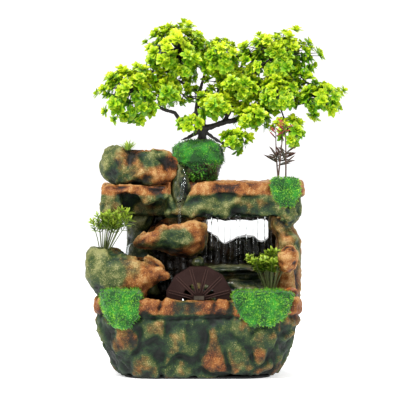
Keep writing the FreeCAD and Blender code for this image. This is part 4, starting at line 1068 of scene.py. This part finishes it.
@dataclass
class Bonsai:
    """The artificial tree: trunk, twigs and heads of small leaves."""

    bench: Bench
    heads_per_clump: int = 40
    bridge_reach: float = 62 * MM
    bridge_above: float = 256 * MM
    bridge_heads: int = 9
    usual_clump: float = 19 * MM
    head_lean: Vector = field(default_factory=lambda: Vector((0, -0.25, 0.75)))
    seed: int = 5
    middles: list[Vector] = field(default_factory=list)

    def trunk(self) -> bpy.types.Object:
        """The trunk and branches, with cracked bark."""
        obj = self.bench.copy_node("trunk", "trunk_bark")
        self.bench.remesh(obj, 0.8 * MM, 4)
        for vertex in obj.data.vertices:
            place = vertex.co
            crack = noise.fractal(Vector((place.x, place.y, place.z * 0.35)) / (2.6 * MM), 0.8, 2.0, 3)
            knot = noise.noise(place / (9 * MM))
            vertex.co += vertex.normal * (0.45 * MM * crack + 0.5 * MM * knot)
        obj.data.update()
        return self.bench.finish(obj, Body.TREE, Bark().material(), "bark", "trunk")

    def clump_heads(self, low: Vector, high: Vector, rng: random.Random) -> list[tuple[Vector, Vector, float]]:
        """Where the heads of one clump sit.

        Args:
            low: The clump's lowest corner.
            high: Its highest corner.
            rng: Where its unevenness comes from.

        Returns:
            (place, direction, shade) of each head.
        """
        middle = (low + high) / 2
        half = (high - low) / 2
        volume = (half.x * half.y * half.z) ** (1 / 3)
        count = int(self.heads_per_clump * (volume / self.usual_clump) ** 2)
        heads = []
        for k in range(count):
            z = 1 - 2 * (k + 0.5) / count
            turn = GOLDEN_TURN * k + rng.uniform(-0.3, 0.3)
            flat = math.sqrt(max(0.0, 1 - z * z))
            out = Vector((flat * math.cos(turn), flat * math.sin(turn), z))
            if out.z > 0.4:
                reach = rng.uniform(0.55, 1.0) + rng.uniform(-0.15, 0.0)
            else:
                reach = rng.uniform(0.55, 1.25)
            # painted light: heads on the clump's top are lighter, and heads deep inside it darker as painted shade
            lit = smooth_step(out.z, -0.7, 0.8)
            shade = 0.22 + 0.32 * lit + 0.22 * (reach - 0.6) + rng.uniform(-0.12, 0.16)
            heads.append((middle + out * half * reach, (out + self.head_lean).normalized(), shade))
        return heads

    def bridge(self, middle: Vector, leaves: Leaves, rng: random.Random) -> list[Route]:
        """Grows sprigs from a clump's middle towards the middles already seen near it.

        Args:
            middle: The clump's middle.
            leaves: Where the heads go.
            rng: Where its unevenness comes from.

        Returns:
            The sprigs' routes.
        """
        routes = []
        for other in self.middles:
            if (other - middle).length > self.bridge_reach:
                continue
            for k in range(self.bridge_heads):
                on_line = middle.lerp(other, 0.25 + 0.5 * (k + rng.random()) / self.bridge_heads)
                place = on_line + Vector([rng.gauss(0, 5.5) * MM for _ in range(3)])
                leaves.rosette(place, Vector((rng.uniform(-0.6, 0.6), -0.5, 0.8)), rng.uniform(0.75, 1.05),
                               rng.uniform(0.2, 0.6), rng)
                routes.append([(on_line, 0.6 * MM), (place, 0.35 * MM)])
            sag = (middle + other) / 2 - Vector((0, 0, 2 * MM))
            routes.append([(place, 0.7 * MM) for place in (middle, sag, other)])
        self.middles.append(middle)
        return routes

    def region(self, node: str, trunk: bpy.types.Object, green: bpy.types.Material,
               bark: bpy.types.Material) -> None:
        """Builds one region of foliage with its twigs.

        Args:
            node: The frame node that it stands for.
            trunk: The finished trunk.
            green: The leaves' material.
            bark: The twigs' material.
        """
        rng = random.Random(f"{node}{self.seed}")
        wood = np.array([v.co for v in trunk.data.vertices])
        leaves = Leaves(self.bench, LeafForm.ROSETTE)
        twigs = []
        for low, high in self.bench.islands(node):
            middle = (low + high) / 2
            if middle.z > self.bridge_above:
                twigs += self.bridge(middle, leaves, rng)
            nearest = Vector(wood[np.argmin(((wood - np.array(middle)) ** 2).sum(1))])
            bend = (nearest + middle) / 2 + Vector((0, 0, -1.5 * MM))
            twigs.append([(nearest, 1.1 * MM), (bend, 0.9 * MM), (middle, 0.7 * MM)])
            for place, out, shade in self.clump_heads(low, high, rng):
                leaves.rosette(place, out, rng.uniform(0.8, 1.12), shade, rng)
                if rng.random() < 0.6:
                    knee = middle.lerp(place, 0.5) - Vector((0, 0, 1.5 * MM))
                    twigs.append([(middle, 0.6 * MM), (knee, 0.5 * MM), (place, 0.35 * MM)])
        self.bench.finish(leaves.make(node + "_leaves"), Body.TREE, green, "leaf_lime", node)
        self.bench.finish(self.bench.strands(node + "_twigs", twigs, 0), Body.TREE, bark, "bark")

    def build(self) -> None:
        """Builds the tree."""
        trunk = self.trunk()
        lime = LeafPlastic("lime_leaf", (0.010, 0.070, 0.002), (0.150, 0.400, 0.006),
                           (0.680, 0.800, 0.020)).material()
        bark = Moulded("twig_bark", (0.012, 0.010, 0.008), 0.6).material()
        for node in ("foliage_left", "foliage_crown", "foliage_right", "foliage_low"):
            self.region(node, trunk, lime, bark)


@dataclass
class SmallPlants:
    """The two green plants, the red plant and the grass tuft."""

    bench: Bench
    heads_per_sprig: int = 5
    end_head: tuple[tuple[int, float, float], ...] = ((5, 28, 1.0), (3, 60, 0.8))
    side_head: tuple[tuple[int, float, float], ...] = ((4, 36, 0.9),)
    low_blades: int = 8
    top_blades: int = 4
    grass_blades: int = 46
    seed: int = 8

    def bush(self, side: str, form: LeafForm, sprigs: int, green: bpy.types.Material,
             stem: bpy.types.Material) -> None:
        """Builds a plant of arching stems with leafy heads.

        Args:
            side: "left" or "right".
            form: Which leaf.
            sprigs: How many stems.
            green: The leaves' material.
            stem: The stems' material.
        """
        rng = random.Random(f"{side}{self.seed}")
        stems = f"{side}_plant_stems"
        crown = f"{side}_plant_leaves"
        low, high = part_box(stems)
        foot = round_foot(low, high)
        leaf_low, leaf_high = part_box(crown)
        middle = (leaf_low + leaf_high) / 2
        half = (leaf_high - leaf_low) / 2
        leaves = Leaves(self.bench, form)
        routes = []
        for k in range(sprigs):
            turn, reach = spiral(k, sprigs)
            out = Vector((math.cos(turn), math.sin(turn), 0)) * reach
            lift = rng.uniform(-0.45, 0.8) * (1.05 - out.length * 0.6)
            tip = middle + Vector((out.x * half.x * 1.2, out.y * half.y * 0.9, lift * half.z))
            start = foot + Vector((out.x * 3.5 * MM, out.y * 2.5 * MM, 0))
            knee = start.lerp(tip, 0.55) + Vector((-out.x, -out.y, 0)) * 2 * MM
            routes.append([(start, 0.6 * MM), (knee, 0.5 * MM), (tip, 0.3 * MM)])
            growth = (tip - knee).normalized()
            for step in range(self.heads_per_sprig):
                place = knee.lerp(tip, 1 - 0.16 * step)
                size = rng.uniform(0.8, 1.1)
                tint = 0.62 - 0.1 * step + rng.uniform(-0.1, 0.2)
                leaves.rosette(place, growth, size, tint, rng, self.side_head if step else self.end_head)
        self.bench.finish(leaves.make(f"{side}_plant_foliage"), Body.ROCKERY, green, "leaf_green", crown)
        canes = self.bench.strands(f"{side}_plant_sprigs", routes)
        self.bench.finish(canes, Body.ROCKERY, stem, "stem_green", stems)

    def red_plant(self) -> None:
        """Builds the tall plant with narrow dark red leaves."""
        rng = random.Random(self.seed)
        leaves = Leaves(self.bench, LeafForm.BLADE)
        routes = []
        for low, high in self.bench.islands("red_plant"):
            foot = round_foot(low, high, 0.0)
            top = Vector((foot.x + rng.uniform(-5, 6) * MM, foot.y + rng.uniform(-2, 1) * MM, high.z))
            bend = foot.lerp(top, 0.5) + Vector((rng.uniform(-2, 2) * MM, 0, 0))
            routes.append([(foot, 0.9 * MM), (bend, 0.75 * MM), (top, 0.4 * MM)])
            heights = [0.28 + 0.2 * k / (self.low_blades - 1) for k in range(self.low_blades)]
            heights += [0.84 + 0.16 * k / (self.top_blades - 1) for k in range(self.top_blades)]
            for k, share in enumerate(heights):
                turn = 2.1 * k + rng.uniform(-0.4, 0.4)
                out = Vector((math.cos(turn), 0.5 * math.sin(turn), rng.uniform(0.25, 1.0)))
                size = rng.uniform(0.7, 1.1) * (1.2 - 0.6 * share)
                tint = share ** 2 * 0.85 + rng.uniform(-0.15, 0.1)
                leaves.add(foot.lerp(top, share), out, Vector((0, -1, 0.5)), size, tint)
        red = LeafPlastic("dark_red_leaf", (0.020, 0.026, 0.007), (0.060, 0.018, 0.010),
                          (0.46, 0.020, 0.025)).material()
        stem = Moulded("red_stem", (0.07, 0.03, 0.015), 0.5).material()
        self.bench.finish(leaves.make("red_plant_leaves"), Body.ROCKERY, red, "leaf_red", "red_plant")
        self.bench.finish(self.bench.strands("red_plant_canes", routes), Body.ROCKERY, stem, "leaf_red")

    def grass(self, green: bpy.types.Material) -> None:
        """Builds the grass tuft on the upper bowl."""
        rng = random.Random(self.seed + 1)
        low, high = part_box("grass_tuft")
        blades = Leaves(self.bench, LeafForm.GRASS)
        foot = round_foot(low, high)
        for k in range(self.grass_blades):
            turn, spread = spiral(k, self.grass_blades)
            start = foot + Vector((math.cos(turn) * 3.2 * MM, math.sin(turn) * 1.8 * MM, 0)) * spread
            out = Vector((math.cos(turn) * spread, 0.6 * math.sin(turn) * spread, rng.uniform(0.6, 1.3)))
            blades.add(start, out, Vector((0, 0, 1)), rng.uniform(0.7, 1.15), rng.uniform(0.3, 0.9))
        self.bench.finish(blades.make("grass_tuft_blades"), Body.ROCKERY, green, "leaf_green", "grass_tuft")

    def build(self) -> None:
        """Builds all four plants."""
        fresh = LeafPlastic("fresh_leaf", (0.020, 0.055, 0.005), (0.150, 0.270, 0.014),
                            (0.480, 0.620, 0.060)).material()
        stem = Moulded("green_stem", (0.10, 0.13, 0.03), 0.5).material()
        self.bush("left", LeafForm.FEATHER, 20, fresh, stem)
        self.bush("right", LeafForm.ROUND, 24, fresh, stem)
        self.red_plant()
        self.grass(fresh)


# ---- the wheel ----
@dataclass
class PaddleWheel:
    """The brown moulded paddle wheel, with a pair of raised ribs along each spoke."""

    bench: Bench
    spokes: int = 12
    first_spoke: float = 15.0
    rib_wide: float = 0.9 * MM
    rib_proud: float = 0.9 * MM
    rib_apart: float = 2.4 * MM
    rib_edge: float = 0.25 * MM
    hub_gap: float = 0.5 * MM
    rim_gap: float = 1.2 * MM

    def rib(self) -> bpy.types.Object:
        """Models one spoke's rib, upright over the wheel's centre."""
        low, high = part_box("wheel_front_plate")
        centre = (low + high) / 2
        hub_low, hub_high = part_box("wheel_hub")
        inner = (hub_high.x - hub_low.x) / 2 + self.hub_gap
        outer = (high.x - low.x) / 2 - self.rim_gap
        bpy.ops.mesh.primitive_cube_add(size=1.0, location=(centre.x, low.y, centre.z + (inner + outer) / 2))
        obj = bpy.context.view_layer.objects.active
        self.bench.only(obj)
        bpy.ops.transform.resize(value=(self.rib_wide, 2 * self.rib_proud, outer - inner))
        bpy.ops.object.transform_apply(location=True, rotation=True, scale=True)
        with self.bench.editing(obj):
            bpy.ops.mesh.bevel(offset=self.rib_edge, segments=2, affect="EDGES")
        return obj

    def build(self) -> None:
        """Dresses the wheel and adds its ribs."""
        brown = Moulded("wheel_brown", (0.022, 0.007, 0.005), 0.5, texture=1.2 * MM, depth=0.12 * MM,
                        shine=0.12).material()
        steel = Moulded("axle_steel", (0.55, 0.55, 0.57), 0.3, 1.0, 0.3 * MM, 0.02 * MM, (1, 8, 1)).material()
        self.bench.dress(brown, "wheel_front_plate", "wheel_rear_plate", "wheel_paddles", "wheel_hub")
        self.bench.dress(steel, "wheel_axle")
        low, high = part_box("wheel_front_plate")
        centre = (low + high) / 2
        rib = self.rib()
        ribs = []
        for k in range(self.spokes):
            angle = math.radians(90 - self.first_spoke - 360 / self.spokes * k)
            for side in (-1, 1):
                copy = self.bench.link("wheel_rib", rib.data.copy())
                turn = Matrix.Rotation(angle, 4, "Y")
                shift = Matrix.Translation((side * self.rib_apart / 2, 0, 0))
                copy.data.transform(Matrix.Translation(centre) @ turn @ shift @ Matrix.Translation(-centre))
                ribs.append(copy)
        bpy.data.objects.remove(rib)
        self.bench.only(ribs[0])
        for copy in ribs:
            copy.select_set(True)
        bpy.ops.object.join()
        joined = bpy.context.view_layer.objects.active
        joined.name = "wheel_ribs"
        # the ribs are a lighter brown than the wheel's plates
        rib_lighter_brown = Moulded("wheel_rib_brown", (0.050, 0.020, 0.014), 0.5, texture=1.2 * MM, shine=0.2).material()
        self.bench.finish(joined, Body.WHEEL, rib_lighter_brown, "wheel_brown")


# ---- pump, hose and small fittings ----
@dataclass
class WaterWorks:
    """The pump, its hose and fittings, the wheel's bearings and the foam pad: frame nodes with better materials."""

    bench: Bench

    def build(self) -> None:
        """Dresses the nodes."""
        rubber = Moulded("rubber_black", (0.016, 0.016, 0.016), 0.72, texture=0.9 * MM, depth=0.06 * MM)
        looks = {
            Moulded("pump_black", (0.020, 0.020, 0.022), 0.5, texture=0.7 * MM, depth=0.08 * MM):
                ("pump_housing", "volute_cover", "intake_cover", "pump_nozzle", "impeller"),
            Moulded("dial_grey", (0.09, 0.09, 0.10), 0.4): ("flow_dial", "bowl_inlet"),
            rubber: ("shaft_bushes", "suction_cups", "cord_gland", "cable_grommet"),
            Moulded("pad_foam", (0.012, 0.012, 0.013), 0.88, texture=0.8 * MM, depth=0.25 * MM): ("base_pad",),
            Moulded("bearing_resin", (0.045, 0.034, 0.022), 0.6, texture=2.2 * MM, depth=0.4 * MM, wear=0.5,
                    shine=0.2): ("front_bearing", "rear_bearing_post"),
            Moulded("core_iron", (0.22, 0.21, 0.2), 0.45, 0.9, 0.5 * MM, 0.1 * MM, (1, 12, 12)): ("motor_core",),
            Moulded("coil_copper", (0.62, 0.26, 0.10), 0.3, 1.0, 0.4 * MM, 0.1 * MM, (12, 1, 12)): ("motor_coil",),
            Moulded("shaft_ceramic", (0.80, 0.79, 0.75), 0.25, wear=0.08): ("impeller_shaft",),
            Moulded("magnet_ferrite", (0.06, 0.06, 0.065), 0.5, texture=0.8 * MM): ("rotor_magnet",),
            Clear("hose_clear", (0.86, 0.92, 0.9), 1.4, 0.12, 2 * MM, 0.05 * MM): ("supply_hose",),
        }
        for look, nodes in looks.items():
            self.bench.dress(look.material(), *nodes)


# ---- water ----
@dataclass
class Water:
    """The water: rain curtain, pouring streams, the pool and the sheets in the bowls."""

    bench: Bench
    lines: int = 11
    seed: int = 3
    rain_set_back: float = 20.7 * MM
    strands_per_stream: int = 4
    pool_below_lead: float = 1.5 * MM
    sheet_thick: float = 2 * MM
    bowl_level: float = 0.4
    bowl_reach: float = 1.35

    def rain(self, clear: bpy.types.Material) -> None:
        """Builds the beaded lines that fall from the trough past the window."""
        rng = random.Random(self.seed)
        low, high = self.bench.openings["window"]
        trough_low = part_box("top_trough")[0]
        ledge_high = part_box("splash_ledge")[1]
        y = trough_low.y + self.rain_set_back
        routes = []
        for k in range(self.lines):
            x = low[0] - 4 * MM + (high[0] - low[0] + 3 * MM) * (k + rng.uniform(0.25, 0.75)) / self.lines
            z = trough_low.z + 1 * MM
            route = []
            while z > ledge_high.z + 1 * MM:
                fall = (trough_low.z - z) / (trough_low.z - ledge_high.z)
                bead = rng.uniform(0.22, 0.5) + (0.35 if rng.random() < 0.25 else 0.0)
                route.append((Vector((x + rng.uniform(-0.25, 0.25) * MM, y, z)), bead * (1.1 - 0.3 * fall) * MM))
                z -= rng.uniform(1.6, 3.4) * MM
            routes.append(route)
        self.bench.finish(self.bench.strands("rain_curtain", routes), Body.ROCKERY, clear, "clear_hose")

    @staticmethod
    def fall(start: Vector, *steps: Size) -> list[Vector]:
        """Points at offsets from a start, in millimetres."""
        return [start + Vector(mm(*step)) for step in steps]

    def stream(self, name: str, places: Sequence[Vector], wide: float, clear: bpy.types.Material) -> None:
        """Builds a stream of a few plaited strands.

        Args:
            name: The piece's name.
            places: The points it runs through.
            wide: Its width in metres.
            clear: The water.
        """
        rng = random.Random(name)
        routes = []
        for k in range(self.strands_per_stream):
            across = k / (self.strands_per_stream - 1) - 0.5
            shift = Vector((wide * across, rng.uniform(-1, 1) * wide * 0.3, 0))
            route = []
            for n, place in enumerate(places):
                squeeze = 1 - 0.55 * n / (len(places) - 1)
                wobble = Vector([rng.uniform(-0.2, 0.2) * wide for _ in range(3)])
                route.append((place + shift * squeeze + wobble, wide * rng.uniform(0.16, 0.26)))
            routes.append(route)
        self.bench.finish(self.bench.strands(name, routes), Body.ROCKERY, clear, "clear_hose")

    def deepen(self, outline: bpy.types.Object, close: bool) -> None:
        """Gives a flat outline the thickness of a sheet of water, downwards.

        Args:
            outline: The flat piece.
            close: Whether it is a bare ring of edges that has to be closed first.
        """
        with self.bench.editing(outline):
            if close:
                bpy.ops.mesh.edge_face_add()
            bpy.ops.mesh.extrude_region_move(TRANSFORM_OT_translate={"value": (0, 0, -self.sheet_thick)})
            bpy.ops.mesh.select_all(action="SELECT")
            bpy.ops.mesh.normals_make_consistent(inside=False)

    def pool(self, water: bpy.types.Material) -> None:
        """Fills the basin to just under the lead's grommet: cuts its casting level and fills the inner ring.

        Args:
            water: The standing water.
        """
        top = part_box("cable_grommet")[0].z - self.pool_below_lead
        with self.bench.editing(self.bench.copy_node("basin", "pool_water")):
            bpy.ops.mesh.bisect(plane_co=(0, 0, top), plane_no=(0, 0, 1), clear_inner=True, clear_outer=True)
            bpy.ops.mesh.select_all(action="SELECT")
            bpy.ops.mesh.separate(type="LOOSE")
        rings = sorted(bpy.context.selected_objects, key=lambda o: -np.ptp([v.co.x for v in o.data.vertices]))
        inner = rings.pop(1)
        for other in rings:
            bpy.data.objects.remove(other)
        self.deepen(inner, close=True)
        inner.name = "pool_water"
        self.bench.finish(inner, Body.ROCKERY, water, "clear_hose")

    def bowl_sheet(self, bowl: str, water: bpy.types.Material) -> None:
        """Lays a round sheet of water in a bowl.

        Args:
            bowl: "upper", "middle" or "lower".
            water: The standing water.
        """
        low, high = map(Vector, self.bench.openings[f"{bowl}_bowl"])
        middle = (low + high) / 2
        wide, deep = ((high - low) / 2 * self.bowl_reach).xy
        top = low.z + self.bowl_level * (high.z - low.z)
        bpy.ops.mesh.primitive_circle_add(vertices=40, radius=1.0, fill_type="NGON")
        sheet = bpy.context.view_layer.objects.active
        self.deepen(sheet, close=False)
        for vertex in sheet.data.vertices:
            x, y, z = vertex.co
            vertex.co = (middle.x + x * wide, middle.y + y * deep, top + z)
        sheet.name = f"{bowl}_water"
        self.bench.finish(sheet, Body.ROCKERY, water, "clear_hose")

    @staticmethod
    def spout(opening: Sequence[Sequence[float]], side: int, inset: float = 0.0) -> Vector:
        """Where water leaves a spout: the middle of its low end.

        Args:
            opening: The spout's clear room, lowest and highest corners.
            side: 0 where it pours to the left, 1 to the right.
            inset: How far from that end, in metres.

        Returns:
            The point.
        """
        low, high = opening
        return Vector((opening[side][0] - inset, (low[1] + high[1]) / 2, low[2]))

    def build(self) -> None:
        """Builds all the water."""
        clear = Clear("falling_water").material()
        self.rain(clear)
        upper = self.bench.openings["upper_spout"]
        trough_low, trough_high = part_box("top_trough")
        notch = Vector((trough_low.x + 13 * MM, trough_low.y, trough_high.z - 22 * MM))
        lip = self.spout(upper, 1)
        streams = (
            ("upper_stream", 5 * MM, [self.spout(upper, 0), *self.fall(lip, (-6, 0, -1), (3, -4, -8)),
                                      *self.fall(notch, (3, 7, 12), (0, -1, 2))]),
            ("notch_stream", 2.4 * MM, self.fall(notch, (0, 0, 2), (0, -3, -6), (0, -4, -18), (0, -4, -34))),
            ("middle_stream", 2.4 * MM, self.fall(self.spout(self.bench.openings["middle_spout"], 0),
                                                  (8, 0, 0), (-1, 0, -1), (-3, 0, -10), (-4, -2, -26))),
            ("lower_stream", 2.6 * MM, self.fall(self.spout(self.bench.openings["lower_spout"], 1, 3 * MM),
                                                 (-8, 0, 0), (0, 0, -1), (3, 0, -5), (4, 0, -11))),
        )
        for name, wide, places in streams:
            self.stream(name, places, wide, clear)
        still = Clear("pool", (0.62, 0.78, 0.70), ripple=7 * MM, depth=0.7 * MM).material()
        self.pool(still)
        for bowl in ("upper", "middle", "lower"):
            self.bowl_sheet(bowl, still)


# ---- studio ----
@dataclass
class Studio:
    """The floor, the soft light and the camera."""

    distance: float = 3.0
    elevation: float = 1.5
    aim: Vector = field(default_factory=lambda: Vector((2.5 * MM, 0, 174 * MM)))
    view_height: float = 0.4
    floor_size: float = 16.0
    floor_front: float = 6.0
    glow: float = 0.55
    air: float = 0.45
    lamps: tuple[tuple[str, Size, float, float], ...] = (
        ("key", (-0.7, -1.0, 1.8), 0.6, 46), ("fill", (1.4, -1.2, 0.6), 0.9, 7), ("back", (0.3, 1.2, 1.4), 1.0, 14))

    def floor(self) -> None:
        """A plain pale floor that curves up behind."""
        bpy.ops.mesh.primitive_grid_add(x_subdivisions=2, y_subdivisions=40, size=1.0)
        sweep = bpy.context.view_layer.objects.active
        sweep.name = "floor"
        for vertex in sweep.data.vertices:
            along = (vertex.co.y + 0.5) * self.floor_size - self.floor_front
            rise = max(0.0, along - self.floor_front)
            vertex.co = (vertex.co.x * self.floor_size, along - 0.35 * rise, rise ** 2 * 0.4)
        sweep.data.shade_smooth()
        shader = Shader("pale_paper")
        tooth = shader.clouds(4 * MM)
        sweep.data.materials.append(shader.done(
            Base_Color=shader.mix(tooth, (0.88, 0.88, 0.88), (0.92, 0.92, 0.92)), Roughness=0.9,
            Emission_Color=(1.0, 1.0, 1.0), Emission_Strength=self.glow, Normal=shader.bump(tooth, 0.02 * MM)))

    def lamp(self, name: str, place: Vector, size: float, power: float) -> None:
        """Adds a soft lamp that faces the fountain.

        Args:
            name: The lamp's name.
            place: Where it hangs.
            size: Its side in metres.
            power: Its power in watts.
        """
        data = bpy.data.lights.new(name, "AREA")
        data.shape = "SQUARE"
        data.size = size
        data.energy = power
        lamp = Bench.link(name, data)
        lamp.location = place
        lamp.rotation_euler = (self.aim - place).to_track_quat("-Z", "Y").to_euler()

    def camera(self) -> None:
        """A long lens straight in front, slightly above."""
        data = bpy.data.cameras.new("camera")
        data.sensor_width = 36.0
        data.lens = data.sensor_width * self.distance / self.view_height
        data.clip_end = 50.0
        camera = Bench.link("camera", data)
        lift = math.radians(self.elevation)
        away = Vector((0, -math.cos(lift), math.sin(lift))) * self.distance
        camera.location = self.aim + away
        camera.rotation_euler = (-away).to_track_quat("-Z", "Y").to_euler()
        bpy.context.scene.camera = camera

    def build(self) -> None:
        """Sets up the studio."""
        self.camera()
        self.floor()
        world = bpy.data.worlds.new("studio_air")
        bpy.context.scene.world = world
        world.use_nodes = True
        background = world.node_tree.nodes["Background"]
        background.inputs[0].default_value = (1.0, 1.0, 1.0, 1.0)
        background.inputs[1].default_value = self.air
        for name, place, size, power in self.lamps:
            self.lamp(name, Vector(place), size, power)
        bpy.context.scene.view_settings.view_transform = "Standard"


def main() -> None:
    """Builds the studio and the fountain."""
    logging.basicConfig(level=logging.INFO, format="%(name)s %(message)s")
    noise.seed_set(NOISE_SEED)
    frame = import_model()
    bench = Bench(frame)
    Studio().build()
    for assembly in (Rockery, Moss, Bonsai, SmallPlants, PaddleWheel, WaterWorks, Water):
        log.info("building %s", assembly.__name__)
        assembly(bench).build()


if __name__ == "__main__":
    main()
